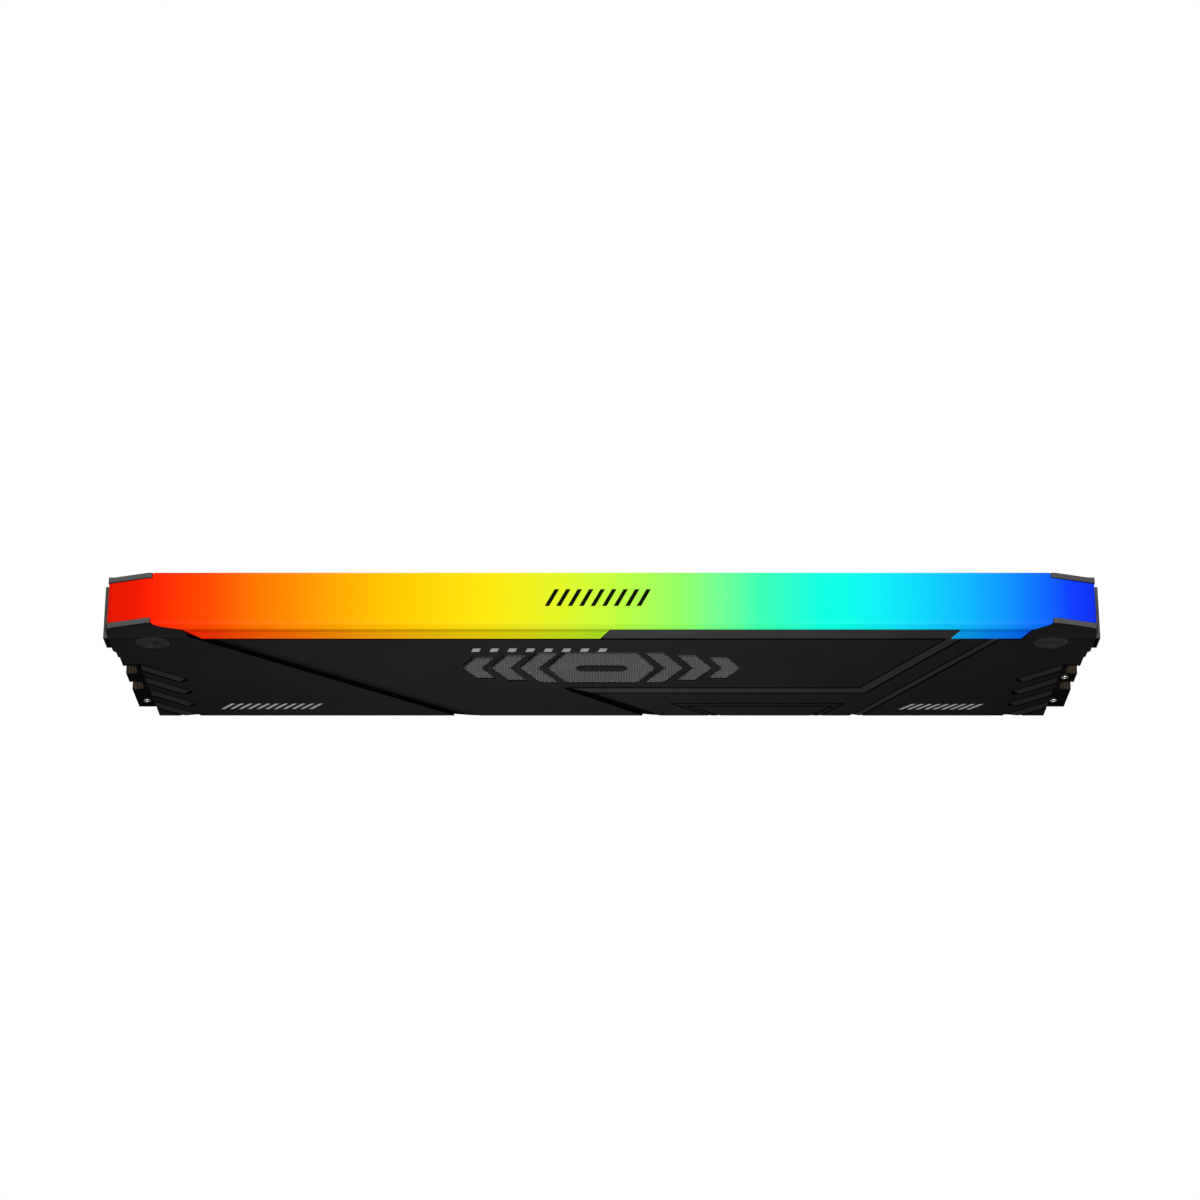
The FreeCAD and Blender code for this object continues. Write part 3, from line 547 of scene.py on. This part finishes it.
def blackened_steel(name, tone):
    """The blackened steel of the screws and sleeves."""
    return dark_metal(
        name,
        tone=tone,
        worn_and_highlit_colour=(0.07, 0.07, 0.068),
        roughness=0.4,
        grains=3800.0,
        tone_change=0.4,
        stretch=1.0,
        reach=0.08 * MM,
        wear_and_highlight=0.6,
        relief=0.003 * MM,
        gloss=0.08,
    )


def black_laminate():
    """The board: black mask over copper traces, with the bare glass-fibre core at its cut edges."""
    material, wires, shader = new_material("black_laminate", Specular_IOR_Level=0.03)
    place = wires.group(PLACES)
    grain = grain_of(wires, 3000.0, 0.5)
    across = place["Across"]
    height = place["Height"]
    contact_pitch = 0.85
    lane_shift = 200.03  # brings the straight traces under the contacts
    fibres_per_metre = 700.0
    dark_fibre = (0.012, 0.009, 0.006, 1)
    pale_fibre = (0.034, 0.025, 0.016, 1)

    on_face = wires.ramp_between(place["Depth"], 0.69, 0.7)
    lanes = wires.maths("DIVIDE", wires.maths("ADD", across, lane_shift), contact_pitch)
    from_lane = wires.distance(wires.maths("FRACT", lanes), 0.5)
    near_contacts = wires.ramp_between(height, 7.2, 6.8)
    above_contacts = wires.ramp_between(height, 6.8, 7.2)
    straight = wires.product(wires.ramp_between(from_lane, 0.14, 0.1), on_face, near_contacts)
    routed = wires.group(
        ROUTING, Along=across, Up=height, Pitch=0.34, Copper_Share=0.45, Patch_Size=4.6
    )[0]
    raised = wires.greatest(straight, wires.product(routed, above_contacts, on_face))
    mask = wires.product(wires.maths("MULTIPLY_ADD", raised, 0.0015, 0.0012), grain["Tone"])
    fibres = wires.node("ShaderNodeTexWave", wave_type="BANDS", bands_direction="X")
    wires.feed(fibres, Vector=wires.point(), Scale=fibres_per_metre, Distortion=2.0)
    core = wires.blend(fibres.outputs[1], dark_fibre, pale_fibre)
    colour = wires.blend(on_face, core, wires.grey(mask))
    roughness = wires.maths("MULTIPLY_ADD", on_face, -0.3, 0.75)
    relief = wires.maths("ADD", raised, wires.product(grain["Height"], 0.2))
    dress(wires, shader, colour, roughness, relief, 0.01 * MM)
    return material


def contact_gold():
    """Gold, a little paler in a band that the socket's springs have wiped."""
    material, wires, shader = new_material("contact_gold", Metallic=0.7)
    grain = grain_of(wires, 2600.0, 0.3, 3.0)
    wiped_height = 1.7
    wiped_gold = (0.86, 0.60, 0.28, 1)
    plain_gold = (0.78, 0.50, 0.19, 1)
    away = wires.ramp_between(wires.distance(wires.group(PLACES)["Height"], wiped_height), 0.25, 0.7)
    gold = wires.blend(away, wiped_gold, plain_gold)
    colour = wires.blend(1.0, gold, wires.grey(grain["Tone"]), "MULTIPLY")
    dress(wires, shader, colour, wires.product(grain["Tone"], 0.24), grain["Height"], 0.002 * MM)
    return material


def plain_grained(name, colour, roughness, grains, tone_change, relief, **settings):
    """A moulded, fired or cast finish: one colour broken up by fine grain."""
    material, wires, shader = new_material(name, **settings)
    grain = grain_of(wires, grains, tone_change)
    shade = wires.blend(1.0, (*colour, 1), wires.grey(grain["Tone"]), "MULTIPLY")
    dress(wires, shader, shade, wires.product(grain["Tone"], roughness), grain["Height"], relief)
    return material


COATED_METAL = black_coated_metal()
EMBLEM_METAL = brushed_emblem_metal()
SCREW_STEEL = blackened_steel("blackened_screw_steel", 0.02)
SLEEVE_STEEL = blackened_steel("blackened_sleeve_steel", 0.017)
GLOWING_BAR = glowing_bar()
LAMINATE = black_laminate()
GOLD = contact_gold()
CHIP_MOULD = plain_grained("chip_mould", (0.012, 0.012, 0.013), 0.55, 5200.0, 0.5, 0.006 * MM)
CHIP_BASE = plain_grained("chip_base", (0.02, 0.05, 0.02), 0.45, 3400.0, 0.3, 0.003 * MM)
CAPACITOR_CERAMIC = plain_grained("capacitor_ceramic", (0.30, 0.20, 0.11), 0.45, 3400.0, 0.35, 0.003 * MM)
RESISTOR_CERAMIC = plain_grained("resistor_ceramic", (0.02, 0.02, 0.024), 0.4, 3400.0, 0.35, 0.003 * MM)
TIN = plain_grained("tinned_metal", (0.62, 0.60, 0.56), 0.3, 3000.0, 0.25, 0.003 * MM, Metallic=0.8)
DIODE_CASE = plain_grained("diode_case", (0.82, 0.80, 0.72), 0.35, 2600.0, 0.12, 0.003 * MM)
DIODE_LENS = plain_grained("diode_lens", (0.9, 0.75, 0.25), 0.15, 2400.0, 0.1, 0.002 * MM)
THERMAL_SILICONE = plain_grained("thermal_silicone", (0.32, 0.36, 0.40), 0.8, 2400.0, 0.3, 0.02 * MM)
KNURL_METAL = plain_grained(
    "knurled_emblem_metal", (0.11, 0.11, 0.11), 0.45, 4200.0, 0.4, 0.003 * MM, Specular_IOR_Level=0.2
)

FINISHES = {
    "heat_spreader": COATED_METAL,
    "emblem_inlay": EMBLEM_METAL,
    "clamp_screw": SCREW_STEEL,
    "clamp_sleeve": SLEEVE_STEEL,
    "light_bar": GLOWING_BAR,
    "circuit_board": LAMINATE,
    "edge_contacts": GOLD,
    "memory_chip": CHIP_MOULD,
    "settings_chip": CHIP_MOULD,
    "light_controller": CHIP_MOULD,
    "bulk_capacitors": CAPACITOR_CERAMIC,
    "decoupling_capacitors": CAPACITOR_CERAMIC,
    "resistor_packs": RESISTOR_CERAMIC,
    "light_diodes": DIODE_CASE,
    "thermal_pad": THERMAL_SILICONE,
}


def finish_cad_nodes():
    for name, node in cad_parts.items():
        material = next(found for start, found in FINISHES.items() if name.startswith(start))
        for slot in node.material_slots:
            slot.material = material


finish_cad_nodes()


# ---------------------------------------------------------------- growing fine pieces by rule

QUARTER_TURN = math.radians(90)
UPRIGHT = (QUARTER_TURN, 0, 0)


def geometry_tree(name, takes):
    takes = [("Geometry", "geometry"), *takes, ("Finish", "material")]
    return new_tree(name, "GeometryNodeTree", takes, [("Geometry", "geometry")])


def make_real(wires, copies, gives, finish):
    """Makes the copies real and gives them their finish."""
    real = wires.node("GeometryNodeRealizeInstances")
    wires.feed(real, Geometry=copies)
    finished = wires.node("GeometryNodeSetMaterial")
    wires.feed(finished, Geometry=real.outputs[0], Material=finish)
    wires.join(finished.outputs[0], gives["Geometry"])


def copies_at(wires, points, shape, **values):
    """A copy of the shape at each point."""
    copies = wires.node("GeometryNodeInstanceOnPoints")
    wires.feed(copies, Points=points, Instance=shape, **values)
    return copies.outputs[0]


def moved(wires, geometry, **values):
    """The geometry turned and shifted."""
    transform = wires.node("GeometryNodeTransform")
    wires.feed(transform, Geometry=geometry, **values)
    return transform.outputs[0]


def shape_of(wires, thing):
    found = wires.node("GeometryNodeObjectInfo")
    wires.feed(found, Object=thing)
    return found.outputs["Geometry"]


def position(wires):
    return wires.node("GeometryNodeInputPosition").outputs[0]


def make_copies_tree():
    """Copies of one shape at each vertex."""
    wires, takes, gives = geometry_tree("copies at points", [("Shape", "object")])
    copies = copies_at(wires, takes["Geometry"], shape_of(wires, takes["Shape"]))
    make_real(wires, copies, gives, takes["Finish"])
    return wires.tree


def make_rings_tree():
    """A raised ring at each vertex, facing along Y."""
    wires, takes, gives = geometry_tree("rings at points", numbers("Ring Radius", "Wire Radius"))
    circles = []
    for sides, radius in ((20, "Ring Radius"), (6, "Wire Radius")):
        circle = wires.node("GeometryNodeCurvePrimitiveCircle")
        wires.feed(circle, Resolution=sides, Radius=takes[radius])
        circles.append(circle.outputs[0])
    ring = wires.node("GeometryNodeCurveToMesh")
    wires.feed(ring, Curve=circles[0], Profile_Curve=circles[1])
    copies = copies_at(wires, takes["Geometry"], ring.outputs[0], Rotation=UPRIGHT)
    make_real(wires, copies, gives, takes["Finish"])
    return wires.tree


def make_balls_tree():
    """A grid of solder balls round each vertex, with a free lane down the middle."""
    wires, takes, gives = geometry_tree(
        "ball grid", numbers("Ball Radius", "Pitch") + [("Columns", "whole"), ("Rows", "whole")]
    )
    grid = wires.node("GeometryNodeMeshGrid")
    for count, size, vertices in (
        (takes["Columns"], "Size X", "Vertices X"),
        (takes["Rows"], "Size Y", "Vertices Y"),
    ):
        gaps = wires.maths("SUBTRACT", count, 1.0)
        wires.join(wires.product(gaps, takes["Pitch"]), grid.inputs[size])
        wires.join(count, grid.inputs[vertices])
    ball = wires.node("GeometryNodeMeshUVSphere")
    wires.feed(ball, Segments=8, Rings=5, Radius=takes["Ball Radius"])
    beside = wires.node("FunctionNodeCompare", data_type="FLOAT", operation="GREATER_THAN")
    wires.join(wires.maths("ABSOLUTE", wires.xyz(position(wires))[0]), beside.inputs[0])
    wires.join(takes["Pitch"], beside.inputs[1])
    upright = moved(wires, grid.outputs[0], Rotation=UPRIGHT)
    balls = copies_at(wires, upright, ball.outputs[0], Selection=beside.outputs[0])
    make_real(wires, copies_at(wires, takes["Geometry"], balls), gives, takes["Finish"])
    return wires.tree


def make_teeth_tree():
    """A ring of fine radial teeth round a centre, facing along Y."""
    wires, takes, gives = geometry_tree(
        "ring of teeth",
        [("Count", "whole"), ("Centre", "vector")]
        + numbers("Ring Radius", "Tooth Length", "Tooth Width", "Tooth Height"),
    )
    circle = wires.node("GeometryNodeMeshCircle")
    wires.feed(circle, Vertices=takes["Count"], Radius=takes["Ring Radius"])
    tooth = wires.node("GeometryNodeMeshCube")
    size = wires.combined(takes["Tooth Length"], takes["Tooth Width"], takes["Tooth Height"])
    wires.feed(tooth, Size=size)
    outward = wires.node("FunctionNodeAlignRotationToVector", axis="X")
    wires.feed(outward, Vector=position(wires))
    ring = copies_at(wires, circle.outputs[0], tooth.outputs[0], Rotation=outward.outputs[0])
    upright = moved(wires, ring, Rotation=UPRIGHT, Translation=takes["Centre"])
    make_real(wires, upright, gives, takes["Finish"])
    return wires.tree


def make_knurl_tree():
    """Fine studs in diagonal rows on every face of an inlay that looks outward."""
    wires, takes, gives = geometry_tree(
        "knurl",
        [("Inlay", "object"), ("Points Per Side", "whole")]
        + numbers("Span", "Centre Up", "Outward", "Start Depth", "Stud Radius", "Stud Height"),
    )
    search_depth = 2.0 * MM
    stud_top_share = 0.3
    grid = wires.node("GeometryNodeMeshGrid")
    for size, vertices in (("Size X", "Vertices X"), ("Size Y", "Vertices Y")):
        wires.join(takes["Span"], grid.inputs[size])
        wires.join(takes["Points Per Side"], grid.inputs[vertices])
    start = wires.combined(y=wires.product(takes["Outward"], takes["Start Depth"]), z=takes["Centre Up"])
    diagonal = moved(
        wires, grid.outputs[0], Rotation=(QUARTER_TURN, QUARTER_TURN / 2, 0), Translation=start
    )

    inlay = shape_of(wires, takes["Inlay"])
    inward = wires.combined(y=wires.product(takes["Outward"], -1.0))
    here = position(wires)
    hits = []
    for along, up in ((0, 0), (1, 0), (-1, 0), (0, 1), (0, -1)):
        step = wires.combined(
            x=wires.product(takes["Stud Radius"], float(along)),
            z=wires.product(takes["Stud Radius"], float(up)),
        )
        ray = wires.node("GeometryNodeRaycast")
        wires.feed(
            ray,
            Target_Geometry=inlay,
            Source_Position=wires.vector("ADD", here, step),
            Ray_Direction=inward,
            Ray_Length=search_depth,
        )
        hits.append(ray.outputs)
    all_hit = hits[0]["Is Hit"]
    for ray in hits[1:]:
        both = wires.node("FunctionNodeBooleanMath", operation="AND")
        wires.join(all_hit, both.inputs[0])
        wires.join(ray["Is Hit"], both.inputs[1])
        all_hit = both.outputs[0]
    missed = wires.node("FunctionNodeBooleanMath", operation="NOT")
    wires.join(all_hit, missed.inputs[0])
    kept = wires.node("GeometryNodeDeleteGeometry", domain="POINT")
    wires.feed(kept, Geometry=diagonal, Selection=missed.outputs[0])
    landed = wires.node("GeometryNodeSetPosition")
    wires.feed(landed, Geometry=kept.outputs[0], Position=hits[0]["Hit Position"])

    stud = wires.node("GeometryNodeMeshCone")
    wires.feed(
        stud,
        Vertices=4,
        Radius_Top=wires.product(takes["Stud Radius"], stud_top_share),
        Radius_Bottom=takes["Stud Radius"],
        Depth=takes["Stud Height"],
    )
    turn = wires.combined(x=wires.product(takes["Outward"], -QUARTER_TURN))
    studs = copies_at(wires, landed.outputs[0], stud.outputs[0], Rotation=turn)
    make_real(wires, studs, gives, takes["Finish"])
    return wires.tree


COPIES = make_copies_tree()
RINGS = make_rings_tree()
BALLS = make_balls_tree()
TEETH = make_teeth_tree()
KNURL = make_knurl_tree()


def dots(points):
    """A mesh of loose vertices that a rule starts from."""
    mesh = bpy.data.meshes.new("dots")
    mesh.from_pydata([tuple(point) for point in points], [], [])
    return mesh


def grow(name, tree, points, slot, replaced=(), smooth=False, **values):
    """Runs a geometry tree once, keeps its result as a plain mesh and rides it on the module."""
    seed = bpy.data.objects.new(name + "_seed", dots(points))
    bpy.context.scene.collection.objects.link(seed)
    modifier = seed.modifiers.new("rule", "NODES")
    modifier.node_group = tree
    for socket in tree.interface.items_tree:
        label = socket.name.replace(" ", "_")
        if socket.item_type == "SOCKET" and socket.in_out == "INPUT" and label in values:
            modifier[socket.identifier] = values[label]
    evaluated = seed.evaluated_get(bpy.context.evaluated_depsgraph_get())
    mesh = bpy.data.meshes.new_from_object(evaluated)
    mesh.name = name
    seed.modifiers.remove(modifier)
    bpy.data.objects.remove(seed)
    if smooth:
        mesh.shade_smooth()
    piece = bpy.data.objects.new(name, mesh)
    bpy.context.scene.collection.objects.link(piece)
    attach(piece, "root")
    if replaced:
        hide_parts(*replaced)
    return piece


def bevelled_block(name, width, depth, height, bevel):
    """A block round the origin with rounded edges, to be copied by a rule and then removed."""
    shape = bmesh.new()
    bmesh.ops.create_cube(shape, size=1.0)
    bmesh.ops.scale(shape, vec=(width, depth, height), verts=shape.verts)
    bmesh.ops.bevel(shape, geom=shape.edges, offset=bevel, segments=2, affect="EDGES", profile=0.5)
    mesh = bpy.data.meshes.new(name)
    shape.to_mesh(mesh)
    shape.free()
    return bpy.data.objects.new(name, mesh)


def solids_of(node):
    """Lowest and highest corner of each separate solid in a CAD node."""
    shape = bmesh.new()
    shape.from_mesh(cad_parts[node].data)
    bmesh.ops.remove_doubles(shape, verts=shape.verts, dist=0.001 * MM)
    seen = set()
    boxes = []
    for vertex in shape.verts:
        if vertex in seen:
            continue
        seen.add(vertex)
        island = [vertex]
        for reached in island:
            for edge in reached.link_edges:
                other = edge.other_vert(reached)
                if other not in seen:
                    seen.add(other)
                    island.append(other)
        low = Vector([min(v.co[axis] for v in island) for axis in range(3)])
        high = Vector([max(v.co[axis] for v in island) for axis in range(3)])
        boxes.append((low, high))
    shape.free()
    return boxes


def middle_of(box):
    return (box[0] + box[1]) / 2


def size_of(box):
    return box[1] - box[0]


def outer_y(box, outward):
    """Where a box ends on the given side of the board."""
    return box[0].y if outward < 0 else box[1].y


def discard(*shapes):
    for shape in shapes:
        bpy.data.objects.remove(shape)


# ---------------------------------------------------------------- fine pieces

CHIP_NUMBERS = range(1, 9)
END_HOLES = ((-65.2, 3.2), (65.1, 13.0), (64.8, 3.2))  # along and up, in millimetres
NOTCH_FLOORS = (8.0, 14.6)  # above the contact edge, in millimetres


def knurl_emblems():
    inlay_middle = middle_of(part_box("emblem_inlay_front"))
    for side, outward in SIDES:
        grow(
            "emblem_knurl_" + side,
            KNURL,
            [(0, 0, 0)],
            "emblem_metal",
            Inlay=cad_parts["emblem_inlay_" + side],
            Points_Per_Side=76,
            Span=38.0 * MM,
            Centre_Up=inlay_middle.z,
            Outward=float(outward),
            Start_Depth=cad_high.y + 0.5 * MM,
            Stud_Radius=0.2 * MM,
            Stud_Height=0.1 * MM,
            Finish=KNURL_METAL,
        )


def tooth_screw_heads():
    """Fine grip teeth round the rims of the screws' and sleeves' heads, and a raised ring inside them."""
    for end, _ in ENDS:
        for kind, outward, finish in (("screw", -1, SCREW_STEEL), ("sleeve", 1, SLEEVE_STEEL)):
            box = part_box("clamp_" + kind + "_" + end)
            centre = middle_of(box)
            centre.y = outer_y(box, outward)
            head_radius = size_of(box).x / 2
            grow(
                "clamp_" + kind + "_rim_teeth_" + end,
                TEETH,
                [(0, 0, 0)],
                kind + "_metal",
                Count=44,
                Centre=centre,
                Ring_Radius=head_radius - 0.34 * MM,
                Tooth_Length=0.6 * MM,
                Tooth_Width=0.18 * MM,
                Tooth_Height=0.12 * MM,
                Finish=finish,
            )
            grow(
                "clamp_" + kind + "_ring_" + end,
                RINGS,
                [centre],
                kind + "_metal",
                smooth=True,
                Ring_Radius=head_radius - 0.85 * MM,
                Wire_Radius=0.06 * MM,
                Finish=finish,
            )


def build_chips():
    """Each memory chip as it is made: moulded body, thin base and solder balls."""
    ball_room = 0.22 * MM
    base_thickness = 0.16 * MM
    for side, outward in SIDES:
        nodes = ["memory_chip_" + side + "_" + str(number) for number in CHIP_NUMBERS]
        boxes = [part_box(node) for node in nodes]
        size = size_of(boxes[0])
        outer = outer_y(boxes[0], outward)
        board = outer_y(boxes[0], -outward)
        ball_y = board + outward * ball_room / 2
        base_y = board + outward * (ball_room + base_thickness / 2)
        body_inner = board + outward * (ball_room + base_thickness)
        body_y = (outer + body_inner) / 2
        centres = [middle_of(box) for box in boxes]
        body = bevelled_block("chip body", size.x, abs(outer - body_inner), size.z, 0.06 * MM)
        base = bevelled_block("chip base", size.x, base_thickness, size.z, 0.02 * MM)
        bodies = [(c.x, body_y, c.z) for c in centres]
        bases = [(c.x, base_y, c.z) for c in centres]
        grow("chip_bodies_" + side, COPIES, bodies, "chip_mould", nodes, Shape=body, Finish=CHIP_MOULD)
        grow("chip_bases_" + side, COPIES, bases, "board_laminate", Shape=base, Finish=CHIP_BASE)
        grow(
            "solder_balls_" + side,
            BALLS,
            [(c.x, ball_y, c.z) for c in centres],
            "contact_gold",
            smooth=True,
            Ball_Radius=0.17 * MM,
            Pitch=0.8 * MM,
            Columns=9,
            Rows=13,
            Finish=TIN,
        )
        discard(body, base)


def build_capacitors():
    """Capacitors with rounded bodies and tinned ends."""
    skin = 0.015 * MM
    slot = "capacitor_ceramic"
    for node, end_share in (
        ("decoupling_capacitors_front", 0.24),
        ("decoupling_capacitors_back", 0.24),
        ("bulk_capacitors", 0.22),
    ):
        boxes = solids_of(node)
        size = size_of(boxes[0])
        end_width = size.x * end_share
        reach = (size.x - end_width) / 2
        body = bevelled_block(
            "ceramic body", size.x - end_width, size.y - 2 * skin, size.z - 2 * skin, 0.03 * MM
        )
        cap = bevelled_block("tinned end", end_width, size.y, size.z, 0.05 * MM)
        centres = [middle_of(box) for box in boxes]
        ends = [(c.x + side * reach, c.y, c.z) for c in centres for _, side in ENDS]
        grow(node + "_bodies", COPIES, centres, slot, [node], Shape=body, Finish=CAPACITOR_CERAMIC)
        grow(node + "_ends", COPIES, ends, slot, Shape=cap, Finish=TIN)
        discard(body, cap)


def build_resistor_packs():
    """Resistor packs with rounded bodies and four tinned leads along each long side."""
    lead_steps = (-0.375, -0.125, 0.125, 0.375)
    lead_drop_share = 0.39
    slot = "resistor_ceramic"
    for side, _ in SIDES:
        node = "resistor_packs_" + side
        boxes = solids_of(node)
        size = size_of(boxes[0])
        centres = [middle_of(box) for box in boxes]
        body = bevelled_block("pack body", size.x, size.y, size.z * 0.8, 0.04 * MM)
        lead = bevelled_block("pack lead", size.x * 0.15, size.y, size.z * 0.22, 0.03 * MM)
        drop = size.z * lead_drop_share
        leads = [
            (c.x + step * size.x, c.y, c.z + rise * drop)
            for c in centres
            for step in lead_steps
            for rise in (-1, 1)
        ]
        grow(node + "_bodies", COPIES, centres, slot, [node], Shape=body, Finish=RESISTOR_CERAMIC)
        grow(node + "_leads", COPIES, leads, slot, Shape=lead, Finish=TIN)
        discard(body, lead)


def lead_small_chips():
    """The two small chips with rounded bodies and short tinned leads along two sides."""
    lead_thickness = 0.14 * MM
    lead_past_body = 0.1 * MM
    off_board = 0.02 * MM
    lead_row_share = 0.84
    for node, count in (("settings_chip", 4), ("light_controller_chip", 8)):
        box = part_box(node)
        low, high = box
        centre = middle_of(box)
        size = size_of(box)
        body = bevelled_block("small chip body", size.x, size.y, size.z, 0.07 * MM)
        lead = bevelled_block("small chip lead", 0.2 * MM, lead_thickness, 0.34 * MM, 0.02 * MM)
        pitch = size.x * lead_row_share / (count - 1)
        lead_y = high.y - lead_thickness / 2 - off_board
        rows = (low.z - lead_past_body, high.z + lead_past_body)
        steps = [pitch * (step - (count - 1) / 2) for step in range(count)]
        leads = [(centre.x + step, lead_y, z) for step in steps for z in rows]
        grow(node + "_body", COPIES, [centre], "chip_mould", [node], Shape=body, Finish=CHIP_MOULD)
        grow(node + "_leads", COPIES, leads, "chip_mould", Shape=lead, Finish=TIN)
        discard(body, lead)


def dot_pin_one():
    """A moulded ring at the pin-one corner of each memory chip."""
    inset = 1.1 * MM
    for side, outward in SIDES:
        boxes = [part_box("memory_chip_" + side + "_" + str(number)) for number in CHIP_NUMBERS]
        grow(
            "pin_one_rings_" + side,
            RINGS,
            [(box[0].x + inset, outer_y(box, outward), box[1].z - inset) for box in boxes],
            "chip_mould",
            smooth=True,
            Ring_Radius=0.4 * MM,
            Wire_Radius=0.04 * MM,
            Finish=CHIP_MOULD,
        )


def dome_diodes():
    """A rounded lens on each diode."""
    lens_share = 0.7
    for side, outward in SIDES:
        boxes = solids_of("light_diodes_" + side)
        size = size_of(boxes[0])
        lens = bevelled_block("lens", size.x * lens_share, 0.3 * MM, size.z * lens_share, 0.12 * MM)
        spots = [(middle_of(box).x, outer_y(box, outward), middle_of(box).z) for box in boxes]
        grow(
            "diode_lenses_" + side,
            COPIES,
            spots,
            "diode_case",
            smooth=True,
            Shape=lens,
            Finish=DIODE_LENS,
        )
        discard(lens)


def trace_contacts():
    """A narrow gold neck above each contact, with a plated hole at its end, high and low by turns."""
    neck_height = 1.2 * MM
    overlap = 0.02 * MM
    hole_above_neck = 0.2 * MM
    hole_step = 0.7 * MM
    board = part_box("circuit_board")
    for side, outward in SIDES:
        boxes = sorted(solids_of("edge_contacts_" + side), key=lambda box: box[0].x)
        neck = bevelled_block("neck", 0.2 * MM, size_of(boxes[0]).y * 0.8, neck_height, 0.005 * MM)
        necks = [
            (middle_of(box).x, middle_of(box).y, box[1].z + neck_height / 2 - overlap) for box in boxes
        ]
        holes = []
        for index, (x, _, z) in enumerate(necks):
            hole_z = z + neck_height / 2 + hole_above_neck
            holes.append((x, outer_y(board, outward), hole_z + (hole_step if index % 2 else 0.0)))
        grow("contact_necks_" + side, COPIES, necks, "contact_gold", Shape=neck, Finish=GOLD)
        grow(
            "plated_holes_" + side,
            RINGS,
            holes,
            "contact_gold",
            smooth=True,
            Ring_Radius=0.19 * MM,
            Wire_Radius=0.05 * MM,
            Finish=GOLD,
        )
        discard(neck)


def ring_board_ends():
    """Larger plated holes near the board's ends."""
    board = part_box("circuit_board")
    for side, outward in SIDES:
        grow(
            "end_holes_" + side,
            RINGS,
            [(along * MM, outer_y(board, outward), up * MM) for along, up in END_HOLES],
            "contact_gold",
            smooth=True,
            Ring_Radius=0.4 * MM,
            Wire_Radius=0.13 * MM,
            Finish=TIN,
        )


def rib_notch_ledges():
    """Fine routed ribs on the board's notch floors."""
    ribs_per_floor = 5
    first_rib = 0.12 * MM
    rib_pitch = 0.22 * MM
    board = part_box("circuit_board")
    rib = bevelled_block("rib", 0.1 * MM, size_of(board).y * 0.96, 0.08 * MM, 0.015 * MM)
    spots = [
        (end * (board[1].x - first_rib - rib_pitch * step), 0, floor * MM)
        for _, end in ENDS
        for floor in NOTCH_FLOORS
        for step in range(ribs_per_floor)
    ]
    grow("notch_ribs", COPIES, spots, "board_laminate", Shape=rib, Finish=LAMINATE)
    discard(rib)


knurl_emblems()
tooth_screw_heads()
build_chips()
build_capacitors()
build_resistor_packs()
lead_small_chips()
dot_pin_one()
dome_diodes()
trace_contacts()
ring_board_ends()
rib_notch_ledges()


# ---------------------------------------------------------------- stage, light and camera


def make_floor():
    """A plain pale floor, well below the module, which is held by its mount."""
    mesh = bpy.data.meshes.new("floor")
    half = 6.0
    level = -0.5
    corners = [(-half, -half, level), (half, -half, level), (half, half, level), (-half, half, level)]
    mesh.from_pydata(corners, [], [(0, 1, 2, 3)])
    floor = bpy.data.objects.new("floor", mesh)
    bpy.context.scene.collection.objects.link(floor)
    material = bpy.data.materials.new("pale_floor")
    material.use_nodes = True
    material.node_tree.nodes.clear()
    wires = Wiring(material.node_tree)
    white = wires.node("ShaderNodeEmission")
    dull = wires.node("ShaderNodeBsdfDiffuse")
    dull.inputs["Color"].default_value = (0.04, 0.04, 0.04, 1)
    seen = wires.node("ShaderNodeMixShader")
    wires.join(wires.node("ShaderNodeLightPath").outputs["Is Camera Ray"], seen.inputs[0])
    wires.join(dull.outputs[0], seen.inputs[1])
    wires.join(white.outputs[0], seen.inputs[2])
    wires.join(seen.outputs[0], wires.node("ShaderNodeOutputMaterial").inputs["Surface"])
    mesh.materials.append(material)


def soft_light(name, place, aim, width, depth, power):
    lamp = bpy.data.lights.new(name, "AREA")
    lamp.shape = "RECTANGLE"
    lamp.size = width
    lamp.size_y = depth
    lamp.energy = power
    holder = bpy.data.objects.new(name, lamp)
    holder.location = place
    towards = Vector(aim) - Vector(place)
    holder.rotation_euler = towards.to_track_quat("-Z", "Y").to_euler()
    bpy.context.scene.collection.objects.link(holder)


def make_lights():
    """White all round for the camera, and softer light on the module from above, in front and behind."""
    sky_on_module = 0.15
    world = bpy.data.worlds.new("white studio")
    world.use_nodes = True
    wires = Wiring(world.node_tree)
    sky = world.node_tree.nodes["Background"]
    sky.inputs["Color"].default_value = (1, 1, 1, 1)
    seen = wires.node("ShaderNodeLightPath").outputs["Is Camera Ray"]
    strength = wires.maths("MULTIPLY_ADD", seen, 1.0 - sky_on_module, sky_on_module)
    wires.join(strength, sky.inputs["Strength"])
    bpy.context.scene.world = world
    middle = (0.0, 0.0, 0.02)
    soft_light("key light", (0.25, -0.9, 1.0), middle, 0.9, 0.6, 22.0)
    soft_light("back light", (-0.25, 0.9, 0.8), middle, 0.9, 0.6, 16.0)


def make_camera():
    lens = bpy.data.cameras.new("camera")
    lens.lens = 96.92
    lens.sensor_width = 36.0
    lens.clip_start = 0.01
    camera = bpy.data.objects.new("camera", lens)
    camera.location = (-0.00023, -0.1553, 0.4404)
    camera.rotation_euler = (math.radians(21.253), 0.0, 0.0)
    bpy.context.scene.collection.objects.link(camera)
    bpy.context.scene.camera = camera


make_floor()
make_lights()
make_camera()
bpy.context.scene.view_settings.view_transform = "Standard"
